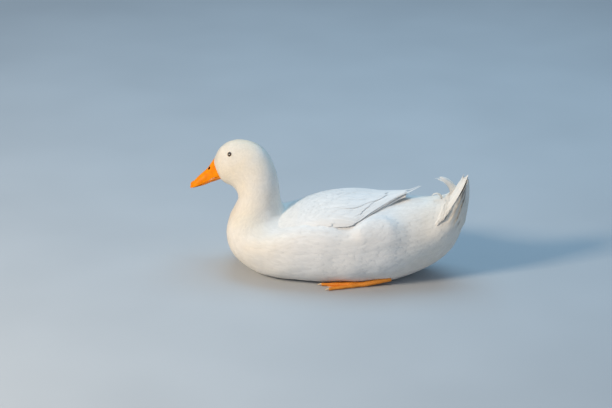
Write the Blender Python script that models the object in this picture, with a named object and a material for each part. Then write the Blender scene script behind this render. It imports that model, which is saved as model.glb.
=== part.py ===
"""A pekin drake as a still, life-size model, resting on its belly with its head up.
Metres, +Z up, floor at z = 0. The duck faces -Y and its left side is +X.
One lofted surface describes head, neck, torso and tail root. It is parted at
three planar rings, and bill, eyes, wings, tail feathers and feet are set on it.
"""
import random
from math import cos, pi, radians, sin
import bpy
import bmesh
import numpy as np
from mathutils import Matrix, Vector
GAP = 0.0003
SEED = 11

# Cross-sections from the face to the stern. Each row is one oblique ring of the body:
# back point y, z; belly point y, z; half width; place of the widest level, from
# -1 at the belly to 1 at the back; and fullness, where 2 is an ellipse.
BODY_RINGS = np.array((
    (-0.2085, 0.1830, -0.1990, 0.1600, 0.0080, 0.0, 2.0),
    (-0.2026, 0.1912, -0.1885, 0.1490, 0.0178, -0.1, 2.1),
    (-0.1964, 0.2040, -0.1830, 0.1450, 0.0238, -0.1, 2.1),
    (-0.1835, 0.2159, -0.1779, 0.1430, 0.0285, -0.1, 2.1),
    (-0.1635, 0.2223, -0.1725, 0.1410, 0.0315, -0.1, 2.0),
    (-0.1400, 0.2198, -0.1680, 0.1385, 0.0328, -0.1, 2.0),
    (-0.1200, 0.2105, -0.1645, 0.1355, 0.0335, -0.1, 2.0),
    (-0.1050, 0.1930, -0.1612, 0.1315, 0.0338, -0.05, 2.0),
    (-0.0945, 0.1710, -0.1590, 0.1270, 0.0350, 0.0, 2.0),
    (-0.0890, 0.1500, -0.1585, 0.1210, 0.0372, -0.02, 2.0),
    (-0.0868, 0.1300, -0.1615, 0.1135, 0.0415, -0.05, 2.0),
    (-0.0835, 0.1125, -0.1670, 0.1025, 0.0498, -0.12, 1.95),
    (-0.0745, 0.1000, -0.1745, 0.0880, 0.0620, -0.22, 1.9),
    (-0.0530, 0.1010, -0.1780, 0.0660, 0.0750, -0.27, 1.9),
    (-0.0290, 0.1120, -0.1710, 0.0370, 0.0885, -0.17, 2.05),
    (-0.0045, 0.1230, -0.1470, 0.0110, 0.0988, -0.07, 2.2),
    (0.0260, 0.1275, -0.1030, -0.0050, 0.1037, -0.06, 2.3),
    (0.0560, 0.1300, -0.0330, -0.0090, 0.1040, -0.08, 2.3),
    (0.0900, 0.1325, 0.0430, -0.0090, 0.0990, -0.06, 2.3),
    (0.1230, 0.1355, 0.1030, -0.0060, 0.0880, -0.02, 2.2),
    (0.1530, 0.1390, 0.1500, 0.0060, 0.0720, 0.0, 2.1),
    (0.1800, 0.1420, 0.1900, 0.0290, 0.0560, 0.0, 2.0),
    (0.2000, 0.1450, 0.2160, 0.0560, 0.0460, 0.0, 2.0),
    (0.2125, 0.1540, 0.2315, 0.0880, 0.0395, 0.0, 2.0),
    (0.2215, 0.1650, 0.2380, 0.1220, 0.0320, 0.0, 2.0),
    (0.2290, 0.1760, 0.2412, 0.1550, 0.0225, 0.0, 2.0),
))
FACE_RING = 0.0
HEAD_END = 7.0
NECK_END = 12.0
TORSO_END = 21.0
TAIL_END = 25.0
RING_SIDES = 30

# Small steps in ring place and angle, with which the loft's slope is read.
SURFACE_STEP = (0.02, 0.01)

# The full flank below each wing: middle |x|, y, z; reach along x, y, z; height.
FLANK = ((0.094, -0.004, 0.082), (0.050, 0.058, 0.020), 0.0034)

# The tuft over the thigh: middle y and z, half sizes, height, and the least |x| it covers.
TUFT = (0.1030, 0.0955, 0.0500, 0.0290, 0.0060, 0.02)

# The head is rolled, left eye up, and turned a little to the bird's right.
HEAD_ROLL = radians(10.0)
HEAD_YAW = radians(5.0)
HEAD_PIVOT = np.array((0.0, -0.118, 0.130))
TURN_FULL = 6.0
TURN_NONE = 11.0

# The bill's tip before the head is turned. Head sizes are measured back and up from it.
BILL_TIP = np.array((0.0, -0.247, 0.130))

# Back from the tip; culmen height; height of the upper edge; half width.
UPPER_BILL = np.array((
    (-0.0010, 0.0036, 0.0018, 0.0010),
    (0.0000, 0.0062, 0.0006, 0.0060),
    (0.0030, 0.0103, 0.0010, 0.0108),
    (0.0080, 0.0160, 0.0030, 0.0138),
    (0.0150, 0.0238, 0.0058, 0.0146),
    (0.0220, 0.0303, 0.0094, 0.0142),
    (0.0300, 0.0388, 0.0138, 0.0137),
    (0.0370, 0.0497, 0.0180, 0.0142),
    (0.0440, 0.0600, 0.0228, 0.0155),
    (0.0520, 0.0650, 0.0262, 0.0172),
    (0.0600, 0.0600, 0.0272, 0.0165),
))

# Back from the tip; lower edge; half width.
LOWER_BILL = np.array((
    (0.0040, 0.0004, 0.0050),
    (0.0080, 0.0016, 0.0108),
    (0.0160, 0.0038, 0.0128),
    (0.0260, 0.0074, 0.0130),
    (0.0350, 0.0120, 0.0132),
    (0.0450, 0.0160, 0.0142),
    (0.0550, 0.0204, 0.0160),
    (0.0650, 0.0236, 0.0165),
))
NOSTRIL = (0.0350, 0.0385)
NOSTRIL_SIZE = (0.0022, 0.0034, 0.0016)
EYE_PLACE = (0.0755, 0.0697)
EYE_RADIUS = 0.0060
EYE_PROUD = 0.0022
LID_RADIUS = 0.0052
LID_THICK = 0.0010

# The folded wings lie on a hull over the back. Station y; half width; crest height; level.
WING_HULL = np.array((
    (-0.120, 0.066, 0.0850, 0.058),
    (-0.100, 0.079, 0.0905, 0.0605),
    (-0.085, 0.088, 0.0985, 0.0615),
    (-0.070, 0.0945, 0.1060, 0.0625),
    (-0.045, 0.1020, 0.1205, 0.064),
    (-0.010, 0.1080, 0.1335, 0.0655),
    (0.030, 0.1100, 0.1412, 0.066),
    (0.070, 0.1035, 0.1430, 0.068),
    (0.105, 0.084, 0.1465, 0.078),
    (0.140, 0.058, 0.1555, 0.098),
    (0.170, 0.034, 0.1715, 0.125),
    (0.190, 0.030, 0.181, 0.138),
))

# Outline of the folded wing: y and angle down from the crest of its lower and hind edge.
WING_EDGE = np.array((
    (-0.112, 24.0), (-0.104, 30.0), (-0.095, 36.5), (-0.088, 41.0), (-0.080, 45.0), (-0.070, 49.0),
    (-0.060, 51.7), (-0.045, 53.8), (-0.030, 54.2), (-0.010, 53.6), (0.010, 52.2), (0.030, 51.7),
    (0.045, 51.9), (0.056, 50.8), (0.065, 46.5), (0.075, 40.5), (0.085, 35.2), (0.095, 30.1),
    (0.105, 24.8), (0.115, 19.3), (0.125, 14.0), (0.140, 9.5), (0.165, 6.5),
))
WING_CREST = 2.5

# The wing's solid underlay: first and last y, share of the outline it covers, lift of its
# face at the rim and in the middle, and how deep it goes.
CORE = (-0.096, 0.108, 0.94, -0.0050, 0.0036, -0.024)

# Vanes of one wing, lowest tier first: primaries, secondaries, tertials, greater and median
# coverts, scapulars. Each row: how many; y at the first and last root; place across the wing
# there, where 1 is its outline; y and place at the tips; half width; lift at root and tip;
# bluntness of the tip; lean in degrees.
WING_TIERS = (
    (4, (0.052, 0.042), (0.84, 0.76), (0.1570, 0.1420), (0.72, 0.50), 0.0056, (-0.0030, -0.0008), 1.7, 5.0),
    (6, (-0.004, 0.056), (0.93, 0.72), (0.0600, 0.1310), (0.92, 0.66), 0.0110, (-0.0030, 0.0010), 2.6, 8.0),
    (3, (0.022, 0.030), (0.64, 0.28), (0.1100, 0.1300), (0.66, 0.32), 0.0140, (-0.0020, 0.0024), 2.2, 7.0),
    (5, (-0.040, 0.020), (0.89, 0.78), (0.0120, 0.0760), (0.88, 0.80), 0.0130, (-0.0020, 0.0030), 2.6, 6.0),
    (4, (-0.074, -0.022), (0.84, 0.74), (-0.0240, 0.0320), (0.86, 0.74), 0.0130, (-0.0016, 0.0036), 2.6, 6.0),
    (2, (-0.070, -0.062), (0.20, 0.52), (-0.012, -0.004), (0.18, 0.48), 0.0150, (-0.0014, 0.0044), 2.6, 7.0),
    (2, (-0.034, -0.026), (0.20, 0.52), (0.0260, 0.0340), (0.18, 0.48), 0.0150, (-0.0014, 0.0044), 2.6, 7.0),
    (2, (0.000, 0.008), (0.20, 0.50), (0.0660, 0.0740), (0.20, 0.48), 0.0150, (-0.0014, 0.0044), 2.6, 7.0),
)

# The bill's arch: how full it is, its points, and the points of its flat underside.
ARCH_FULL = 0.80
ARCH_POINTS = 13
UNDERSIDE = np.linspace(0.75, -0.75, 4)
UNDERSIDE_RISE = 0.0004

# The nail on the bill's tip: its place back and up, its radii and its tilt. The nostrils'
# distance to each side, and their tilt.
NAIL = ((0.0035, 0.0085), (0.0046, 0.0058, 0.0030), radians(38.0))
NOSTRIL_SIDE = 0.0088
NOSTRIL_TILT = radians(50.0)

# The lower bill's bowl: gap under the upper bill, how steep and how high its sides are.
MOUTH_GAP = 2.5 * GAP
BOWL = (2.4, 0.72)

# The cocked tail is a fan: how far its root bends round, how many feathers it has, the half
# width of one, and the place of the outermost's middle line.
FAN_BEND = radians(80.0)
TAIL_COUNT = 10
TAIL_HALF = 0.0082
TAIL_OUTER = 0.88
TAIL_LEAN = radians(9.0)

# Coverts on the tail root: rows, first ring place, step of each row, length in ring places,
# half width and how proud their tips stand; below it and above it.
COVERTS_BELOW = (3, 20.7, 1.20, 2.1, 0.0120, 0.0045)
COVERTS_ABOVE = (2, 20.7, 0.80, 1.7, 0.0095, 0.0042)

# The last coverts under the tail reach from the loft's end up to the fan: how many, how far
# round they go, their half width and the place of their tips along the fan.
COVERTS_LAST = (6, 1.50, 0.0110, 0.86)

# Each curl: its arc's centre y and z, its radius, first and last angle, half width, x, and
# how far its face turns to the side, in degrees.
CURLS = (
    (0.1880, 0.1555, 0.0300, -36.0, 80.0, 0.0076, 0.0080, 55.0),
    (0.1875, 0.1520, 0.0265, -34.0, 86.0, 0.0054, 0.0010, 35.0),
    (0.1900, 0.1540, 0.0235, -38.0, 104.0, 0.0046, -0.0060, -25.0),
    (0.1880, 0.1440, 0.0090, -50.0, 150.0, 0.0034, 0.0040, 30.0),
)
CURL_DRIFT = 0.003

# The tucked leg: ankle, root and tips of the three front toes, tip of the hind toe; radii
# along each; the claws' length, radii and drop.
ANKLE = np.array((0.058, 0.118, 0.0120))
FOOT_ROOT = np.array((0.074, 0.074, 0.0045))
TOE_TIPS = np.array(((0.062, 0.020, 0.0028), (0.083, 0.002, 0.0028), (0.101, 0.018, 0.0028)))
HIND_TOE = np.array((0.060, 0.090, 0.0026))
TOE_RADIUS = 0.0044
SHANK_RADII = (0.0062, 0.0052, 0.0052, 0.0060)
HIND_TOE_RADII = (0.0040, 0.0030, 0.0026, 0.0016)
CLAW_LENGTH = 0.008
CLAW_RADII = (0.0022, 0.0018, 0.0005)
CLAW_DROP = np.array((0.0, 0.0, 0.0025))

# The web between the toes: its underside below the floor, where it is cut, its upper face,
# how far along the toes it reaches, and how hollow its front edge is.
WEB = (-0.0010, 0.0020, 0.90, 0.16)

# How far each wing stays from the middle of the back.
WING_CLEAR = 0.0004
COLOURS = {
    "plumage": ((0.86, 0.83, 0.76, 1.0), 0.75),
    "bill": ((0.90, 0.42, 0.03, 1.0), 0.40),
    "eye": ((0.02, 0.015, 0.012, 1.0), 0.08),
    "foot": ((0.85, 0.30, 0.03, 1.0), 0.55),
}


def clear_scene():
    for old in list(bpy.data.objects):
        bpy.data.objects.remove(old, do_unlink=True)


def material(slot):
    found = bpy.data.materials.get(slot)
    if found:
        return found
    made = bpy.data.materials.new(slot)
    made.use_nodes = True
    shader = made.node_tree.nodes["Principled BSDF"]
    colour, rough = COLOURS[slot]
    shader.inputs["Base Color"].default_value = colour
    shader.inputs["Roughness"].default_value = rough
    return made


def spline(rows, places):
    """Rows of values read along a smooth curve through them, at places from 0 to the last row."""
    places = np.clip(np.atleast_1d(places), 0.0, len(rows) - 1.0)
    first = np.minimum(places.astype(int), len(rows) - 2)
    part = (places - first)[:, None]
    before = rows[np.maximum(first - 1, 0)]
    start = rows[first]
    end = rows[first + 1]
    after = rows[np.minimum(first + 2, len(rows) - 1)]
    return 0.5 * (2 * start + (end - before) * part
                  + (2 * before - 5 * start + 4 * end - after) * part ** 2
                  + (3 * start - before - 3 * end + after) * part ** 3)


def by_first(rows, value):
    """The other columns of rows where the first column, which rises, has this value."""
    place = np.interp(value, rows[:, 0], np.arange(len(rows)))
    return spline(rows[:, 1:], place)


def ease(low, high, value):
    share = min(max((value - low) / (high - low), 0.0), 1.0)
    return share * share * (3.0 - 2.0 * share)


def turned(points, share=1.0):
    """Points of the head or neck, rolled and yawed about the pivot by a share of the full turn."""
    rel = np.asarray(points, float) - HEAD_PIVOT
    roll = HEAD_ROLL * share
    yaw = HEAD_YAW * share
    x = rel[:, 0] * cos(roll) - rel[:, 2] * sin(roll)
    z = rel[:, 0] * sin(roll) + rel[:, 2] * cos(roll)
    y = rel[:, 1] * cos(yaw) - x * sin(yaw)
    x = x * cos(yaw) + rel[:, 1] * sin(yaw)
    return np.stack((x, y, z), axis=1) + HEAD_PIVOT


def head_point(back, up, left=0.0):
    """A place on the head, from the bill's tip, after the head's turn."""
    return turned([BILL_TIP + np.array((left, back, up))])[0]


def body_ring(place, angles, shift=0.0, grow=0.0):
    """Points of one ring at these angles from the back, moved along the body or grown."""
    back_y, back_z, belly_y, belly_z, wide, level, full = spline(BODY_RINGS, place)[0]
    half_y = (back_y - belly_y) / 2
    half_z = (back_z - belly_z) / 2
    half = (half_y ** 2 + half_z ** 2) ** 0.5
    to_back = (half_y / half, half_z / half)
    c = np.cos(angles)
    s = np.sin(angles)
    up = np.sign(c) * np.abs(c) ** (2 / full)
    side = np.sign(s) * np.abs(s) ** (2 / full)
    up = (up + level * (1 - up ** 2)) * (half + grow)
    y = (back_y + belly_y) / 2 + to_back[0] * up + to_back[1] * shift
    z = (back_z + belly_z) / 2 + to_back[1] * up - to_back[0] * shift
    ring = np.stack((side * (wide + grow), y, z), axis=1)
    ring = turned(ring, 1.0 - ease(TURN_FULL, TURN_NONE, place))
    ring[:, 2] = np.maximum(ring[:, 2], 0.0)
    return ring


def mesh_object(name, points, faces, slot):
    mesh = bpy.data.meshes.new(name)
    mesh.from_pydata([tuple(p) for p in points], [], faces)
    mesh.validate()
    made = bpy.data.objects.new(name, mesh)
    bpy.context.scene.collection.objects.link(made)
    mesh.materials.append(material(slot))
    return made


def loft(name, rings, slot):
    """A closed body through rings of equal count, with a flat cap at each end."""
    count = len(rings[0])
    points = np.concatenate(rings)
    faces = [tuple(range(count))[::-1]]
    for row in range(len(rings) - 1):
        for k in range(count):
            a = row * count + k
            b = row * count + (k + 1) % count
            faces.append((a, b, b + count, a + count))
    last = (len(rings) - 1) * count
    faces.append(tuple(range(last, last + count)))
    made = mesh_object(name, points, faces, slot)
    face_out(made)
    return made


def face_out(obj):
    work = bmesh.new()
    work.from_mesh(obj.data)
    bmesh.ops.recalc_face_normals(work, faces=work.faces)
    if work.calc_volume(signed=True) < 0:
        bmesh.ops.reverse_faces(work, faces=work.faces)
    work.to_mesh(obj.data)
    work.free()


def apply_all(obj):
    """The object with its modifiers' result as its own mesh."""
    shape = obj.evaluated_get(bpy.context.evaluated_depsgraph_get())
    mesh = bpy.data.meshes.new_from_object(shape)
    obj.modifiers.clear()
    obj.data = mesh


def keep_largest(obj):
    """Only the largest closed surface of the object stays."""
    work = bmesh.new()
    work.from_mesh(obj.data)
    bmesh.ops.triangulate(work, faces=work.faces)
    left = set(work.faces)
    groups = []
    while left:
        group = {left.pop()}
        edge = list(group)
        while edge:
            face = edge.pop()
            for line in face.edges:
                for near in line.link_faces:
                    if near in left:
                        left.remove(near)
                        group.add(near)
                        edge.append(near)
        groups.append(group)
    sizes = [abs(sum(f.calc_center_median().dot(f.normal) * f.calc_area() for f in g)) for g in groups]
    best = groups[sizes.index(max(sizes))]
    drop = [f for f in work.faces if f not in best]
    bmesh.ops.delete(work, geom=drop, context="FACES")
    work.to_mesh(obj.data)
    work.free()


def fuse(base, pieces, solver="EXACT"):
    """Joins closed pieces to base by one union, and removes them."""
    group = bpy.data.collections.new("pieces")
    bpy.context.scene.collection.children.link(group)
    for piece in pieces:
        for held in list(piece.users_collection):
            held.objects.unlink(piece)
        group.objects.link(piece)
    union = base.modifiers.new("union", "BOOLEAN")
    union.operation = "UNION"
    union.solver = solver
    union.operand_type = "COLLECTION"
    union.collection = group
    apply_all(base)
    for piece in pieces:
        bpy.data.objects.remove(piece, do_unlink=True)
    bpy.data.collections.remove(group)
    keep_largest(base)


def cut(base, cutter, remove=True, solver="EXACT"):
    """Takes the cutter's space out of base."""
    trim = base.modifiers.new("cut", "BOOLEAN")
    trim.operation = "DIFFERENCE"
    trim.solver = solver
    trim.object = cutter
    apply_all(base)
    if remove:
        bpy.data.objects.remove(cutter, do_unlink=True)
    keep_largest(base)


def grown(obj, by=GAP):
    """A cutter: a copy of a body, its surface moved out by the gap that neighbours keep. Both
    are made of the same triangles, so that they bend in the same places."""
    work = bmesh.new()
    work.from_mesh(obj.data)
    bmesh.ops.triangulate(work, faces=work.faces)
    work.to_mesh(obj.data)
    work.normal_update()
    for point in work.verts:
        point.co += point.normal * by * 1.08
    mesh = bpy.data.meshes.new("cutter")
    work.to_mesh(mesh)
    work.free()
    made = bpy.data.objects.new("cutter", mesh)
    bpy.context.scene.collection.objects.link(made)
    made.hide_render = True
    made.display_type = "WIRE"
    return made


def box_cutter(low, high):
    corners = [(x, y, z) for x in (low[0], high[0])
               for y in (low[1], high[1]) for z in (low[2], high[2])]
    faces = [(0, 1, 3, 2), (4, 6, 7, 5), (0, 4, 5, 1), (2, 3, 7, 6), (0, 2, 6, 4), (1, 5, 7, 3)]
    made = mesh_object("cutter", corners, faces, "plumage")
    face_out(made)
    made.hide_render = True
    made.display_type = "WIRE"
    return made


def ellipsoid(name, centre, radii, slot, turn=None, segments=16, rings=10):
    """A closed ball with three radii, turned by a rotation matrix before it is placed."""
    mesh = bpy.data.meshes.new(name)
    work = bmesh.new()
    bmesh.ops.create_uvsphere(work, u_segments=segments, v_segments=rings, radius=1.0)
    place = Matrix.Translation(Vector(centre)) @ (turn or Matrix.Identity(4))
    size = Matrix.Diagonal((*radii, 1.0))
    bmesh.ops.transform(work, matrix=place @ size, verts=work.verts)
    work.to_mesh(mesh)
    work.free()
    made = bpy.data.objects.new(name, mesh)
    bpy.context.scene.collection.objects.link(made)
    mesh.materials.append(material(slot))
    return made


def units(vectors):
    return vectors / np.maximum(np.linalg.norm(vectors, axis=1, keepdims=True), 1e-9)


def vane(path, normals, widths, thick=0.0012, camber=0.08, lean=0.0, slot="plumage"):
    """A closed feather vane along a middle line, with the way its upper face looks and its
    half widths. Lean, in radians, raises its right edge, looking along it from above."""
    path = np.asarray(path, float)
    normals = units(np.asarray(normals, float))
    along = units(np.gradient(path, axis=0))
    across = units(np.cross(along, normals))
    normals = units(np.cross(across, along))
    leaned = normals * cos(lean) - across * sin(lean)
    across = across * cos(lean) + normals * sin(lean)
    widths = np.asarray(widths, float)[:, None]
    taper = np.linspace(1.0, 0.7, len(path))[:, None]
    drop = path - leaned * widths * camber
    rows = (drop - across * widths, path + leaned * thick * taper / 2,
            drop + across * widths, path - leaned * thick * taper / 2)
    points = np.stack(rows, axis=1)
    count = len(path)
    faces = []
    for j in range(count - 1):
        a = 4 * j
        b = a + 4
        faces += [(a, a + 1, b + 1), (a, b + 1, b), (a + 1, a + 2, b + 2), (a + 1, b + 2, b + 1)]
        faces += [(a, b + 3, a + 3), (a, b, b + 3), (a + 3, b + 2, a + 2), (a + 3, b + 3, b + 2)]
    for a in (0, 4 * (count - 1)):
        faces += [(a, a + 3, a + 1), (a + 1, a + 3, a + 2)]
    made = mesh_object("vane", points.reshape(-1, 3), faces, slot)
    face_out(made)
    return made


def feather_widths(count, half, root=0.45, blunt=2.6):
    """Half widths from a narrow root, over a full middle, to a rounded tip."""
    share = np.linspace(0.0, 1.0, count)
    swell = root + (1 - root) * np.sin(np.minimum(share / 0.45, 1.0) * pi / 2)
    tip = np.maximum(1.0 - share ** (2 * blunt), 0.0) ** 0.5
    return np.maximum(half * swell * tip, 0.0006)


def wing_angle(y, share):
    """Angle down from the crest, in degrees, at a share of the way to the wing's outline."""
    edge = by_first(WING_EDGE, y)[:, 0]
    return WING_CREST + share * (edge - WING_CREST)


def wing_surface(y, angle, lift, side=1):
    """Points and outward directions on the wing hull, lifted off it, angles in degrees."""
    y = np.atleast_1d(np.asarray(y, float))
    angle = np.radians(np.atleast_1d(angle))
    wide, crest, level = by_first(WING_HULL, y).T
    high = crest - level
    x = wide * np.sin(angle)
    z = level + high * np.cos(angle)
    out = units(np.stack((np.sin(angle) / wide, np.zeros_like(y), np.cos(angle) / high), axis=1))
    points = np.stack((x, y, z), axis=1) + out * np.atleast_1d(lift)[:, None]
    flip = np.array((side, 1.0, 1.0))
    return points * flip, out * flip


def wing_vane(root, tip, half, lifts, side, blunt, lean, stations):
    """A vane on the wing hull from root to tip, each a y and a place across the wing."""
    share = np.linspace(0.0, 1.0, stations)
    y = root[0] + (tip[0] - root[0]) * share
    across = root[1] + (tip[1] - root[1]) * share
    lift = lifts[0] + (lifts[1] - lifts[0]) * share
    path, out = wing_surface(y, wing_angle(y, across), lift, side)
    widths = feather_widths(stations, half, blunt=blunt)
    return vane(path, out, widths, lean=radians(lean) * side)


def wing_core(name, side):
    """The wing's solid underlay, from well inside the torso to just under the vanes."""
    rows = 11
    columns = 8
    first, last, cover, rim_lift, rise, deep = CORE
    rim = np.sin(np.linspace(0.0, pi, columns)) ** 0.35
    rings = []
    for y in np.linspace(first, last, rows):
        station = np.full(columns, y)
        angles = wing_angle(station, np.linspace(0.0, cover, columns))
        nose = 1.0 - ease(first + 0.020, first, y)
        upper, _ = wing_surface(station, angles, rim_lift + rise * rim * nose, side)
        lower, _ = wing_surface(station, angles, np.full(columns, deep), side)
        rings.append(np.concatenate((upper, lower[::-1])))
    return loft(name, rings, "plumage")


def between(pair, share):
    return pair[0] + (pair[1] - pair[0]) * share


def wing_feathers(side):
    """Every vane of one wing, lowest tier first."""
    rng = random.Random(SEED + side)
    made = []
    for count, root_y, root_at, tip_y, tip_at, half, lifts, blunt, lean in WING_TIERS:
        stations = 5 if tip_y[0] - root_y[0] > 0.10 else 4
        for k in range(count):
            share = k / (count - 1)
            root = (between(root_y, share), between(root_at, share))
            tip = (between(tip_y, share) + rng.uniform(-0.001, 0.001),
                   between(tip_at, share) + rng.uniform(-0.01, 0.01))
            made.append(wing_vane(root, tip, half, lifts, side, blunt, lean, stations))
    return made


def skin_surface(place, angle):
    """Points and outward directions on the body loft at ring places and angles from the back."""
    step, turn = SURFACE_STEP
    points = []
    outs = []
    for p, a in zip(np.atleast_1d(place), np.atleast_1d(angle)):
        here = np.array((a,))
        on = body_ring(p + step, here)[0] - body_ring(p - step, here)[0]
        round_it = body_ring(p, here + turn)[0] - body_ring(p, here - turn)[0]
        points.append(body_ring(p, here)[0])
        outs.append(np.cross(round_it, on))
    return np.array(points), units(np.array(outs))


def tuft_share(points):
    """How far inside the thigh tuft each point is: 1 on its middle, 0 outside it."""
    y, z, long, high, _, least = TUFT
    along = (points[:, 1] - y) / long
    above = (points[:, 2] - z) / high
    reach = np.hypot(along, above)
    fade = np.clip((1.06 - reach) / 0.75, 0.0, 1.0)
    return fade * fade * (3.0 - 2.0 * fade) * (np.abs(points[:, 0]) > least)


def coat_forms(points):
    """Height of the coat's soft forms over the torso."""
    middle, reach, rise = FLANK
    right = np.sign(points[:, :1]) * np.array((1.0, 0.0, 0.0)) + np.array((0.0, 1.0, 1.0))
    far = (points * right - middle) / reach
    return TUFT[4] * tuft_share(points) + rise * np.exp(-np.sum(far ** 2, axis=1))


def body_part(name, start, end, steps, cap_start=True, cap_end=True, sides=RING_SIDES, forms=False):
    """A length of the body loft. Its capped ends stand half a gap back from the parting plane."""
    angles = np.linspace(0.0, 2 * pi, sides, endpoint=False)
    rings = []
    for place in np.linspace(start, end, steps + 1):
        shift = 0.0
        if place == start and cap_start:
            shift = GAP / 2
        if place == end and cap_end:
            shift = -GAP / 2
        ring = body_ring(place, angles, shift)
        if forms and shift == 0.0:
            _, out = skin_surface(np.full(sides, place), angles)
            ring = ring + out * coat_forms(ring)[:, None]
            ring[:, 2] = np.maximum(ring[:, 2], 0.0)
        rings.append(ring)
    return loft(name, rings, "plumage")


def head_turn():
    """The head's turn as a matrix."""
    axes = turned(np.eye(3) + HEAD_PIVOT) - HEAD_PIVOT
    return Matrix([[axes[j][i] for j in range(3)] for i in range(3)]).to_4x4()


def eye_spot():
    """The ring place and angle of the loft nearest the eye's named place on the head."""
    axis = np.array((head_turn().to_3x3() @ Vector((1.0, 0.0, 0.0)))[:])
    target = head_point(*EYE_PLACE)
    angles = np.radians(np.linspace(20.0, 120.0, 101))
    best = (1.0, 0.0, 0.0)
    for place in np.linspace(2.0, 5.0, 61):
        off = body_ring(place, angles) - target
        off = off - np.outer(off @ axis, axis)
        far = np.linalg.norm(off, axis=1)
        near = int(np.argmin(far))
        if far[near] < best[0]:
            best = (far[near], place, angles[near])
    return best[1], best[2]


def eye_frames():
    """For each eye: its side, its centre and the way it looks."""
    place, angle = eye_spot()
    frames = []
    for side in (1, -1):
        point, out = skin_surface(place, angle * side)
        frames.append((side, point[0] + out[0] * (EYE_PROUD - EYE_RADIUS), out[0]))
    return frames


def torus(name, centre, out, ring_radius, thick, slot, segments=16, sides=5):
    """A closed ring about a direction."""
    turn = Vector((0.0, 0.0, 1.0)).rotation_difference(Vector(out)).to_matrix()
    rows = []
    for k in range(segments):
        a = 2 * pi * k / segments
        for j in range(sides):
            b = 2 * pi * j / sides
            reach = ring_radius + thick * cos(b)
            spot = Vector((reach * cos(a), reach * sin(a), thick * sin(b)))
            rows.append(turn @ spot + Vector(centre))
    faces = []
    for k in range(segments):
        near = k * sides
        after = ((k + 1) % segments) * sides
        for j in range(sides):
            side = (j + 1) % sides
            faces.append((near + j, near + side, after + side, after + j))
    made = mesh_object(name, rows, faces, slot)
    face_out(made)
    return made


def build_head():
    head = body_part("head", FACE_RING, HEAD_END, 16, cap_start=False, sides=26)
    frames = eye_frames()
    lids = []
    for _, centre, out in frames:
        rim = centre + out * (EYE_RADIUS ** 2 - LID_RADIUS ** 2) ** 0.5
        lids.append(torus("lid", rim, out, LID_RADIUS, LID_THICK, "plumage"))
    fuse(head, lids)
    for side, centre, out in frames:
        name = "eye_left" if side > 0 else "eye_right"
        turn = Vector((0.0, 0.0, 1.0)).rotation_difference(Vector(out)).to_matrix().to_4x4()
        ellipsoid(name, centre, (EYE_RADIUS,) * 3, "eye", turn)
        cut(head, ellipsoid("cutter", centre, (EYE_RADIUS + GAP,) * 3, "eye", turn))
    return head


def bill_ring(back, top, low, wide):
    """A section of the upper bill: an arch over a flat underside."""
    arch = np.linspace(-pi / 2, pi / 2, ARCH_POINTS)
    x = np.concatenate((wide * np.sin(arch), wide * UNDERSIDE))
    u = low + (top - low) * np.abs(np.cos(arch)) ** ARCH_FULL
    u = np.concatenate((u, np.full(len(UNDERSIDE), low + UNDERSIDE_RISE)))
    return turned(np.stack((x, np.full_like(x, back), u), axis=1) + BILL_TIP)


def build_upper_bill(head_cutter):
    rows = spline(UPPER_BILL, np.linspace(0, len(UPPER_BILL) - 1, 15))
    bill = loft("bill_upper", [bill_ring(*row) for row in rows], "bill")
    place, radii, tilt = NAIL
    nail_turn = head_turn() @ Matrix.Rotation(tilt, 4, "X")
    fuse(bill, [ellipsoid("nail", head_point(*place), radii, "bill", nail_turn, 12, 8)])
    cut(bill, head_cutter, remove=False)
    turn = head_turn() @ Matrix.Rotation(NOSTRIL_TILT, 4, "X")
    for side in (1, -1):
        place = head_point(*NOSTRIL, side * NOSTRIL_SIDE)
        cut(bill, ellipsoid("cutter", place, NOSTRIL_SIZE, "bill", turn, 12, 8))
    return bill


def build_lower_bill(head_cutter):
    steep, high = BOWL
    across = np.linspace(-1.0, 1.0, 9)
    rim = np.linspace(0.94, -0.94, 4)
    rings = []
    for back, low, wide in spline(LOWER_BILL, np.linspace(0, len(LOWER_BILL) - 1, 11)):
        top = by_first(UPPER_BILL, back)[0][1] - MOUTH_GAP
        bowl = low + (top - low) * np.abs(across) ** steep * high
        x = wide * np.concatenate((across, rim))
        u = np.concatenate((bowl, np.full(len(rim), top)))
        rings.append(turned(np.stack((x, np.full_like(x, back), u), axis=1) + BILL_TIP))
    bill = loft("bill_lower", rings, "bill")
    cut(bill, head_cutter, remove=False)
    return bill


def fan_point(step, share):
    """A point of the cocked tail's surface: step from root to tip, share from right to left."""
    bend = share * FAN_BEND
    side = share ** 2
    top = 0.1880 + 0.0115 * share - 0.0025 * side
    root = np.array((0.0535 * sin(bend), 0.196 - 0.0140 * side, 0.092 + 0.043 * cos(bend)))
    control = np.array((0.041 * share, 0.2240 + 0.0080 * side,
                        0.1620 + 0.5 * (top - 0.1880) - 0.0165 * side))
    tip = np.array((0.025 * share, 0.2350 + 0.0075 * abs(share) ** 1.5 + 0.0025 * share, top))
    return (1 - step) ** 2 * root + 2 * step * (1 - step) * control + step ** 2 * tip


def fan_frame(step, share):
    """A point of the tail's surface and the way its upper face looks."""
    near = 0.01
    on = fan_point(step + near, share) - fan_point(step - near, share)
    round_it = fan_point(step, share + near) - fan_point(step, share - near)
    out = np.cross(round_it, on)
    return fan_point(step, share), out / np.linalg.norm(out)


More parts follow.
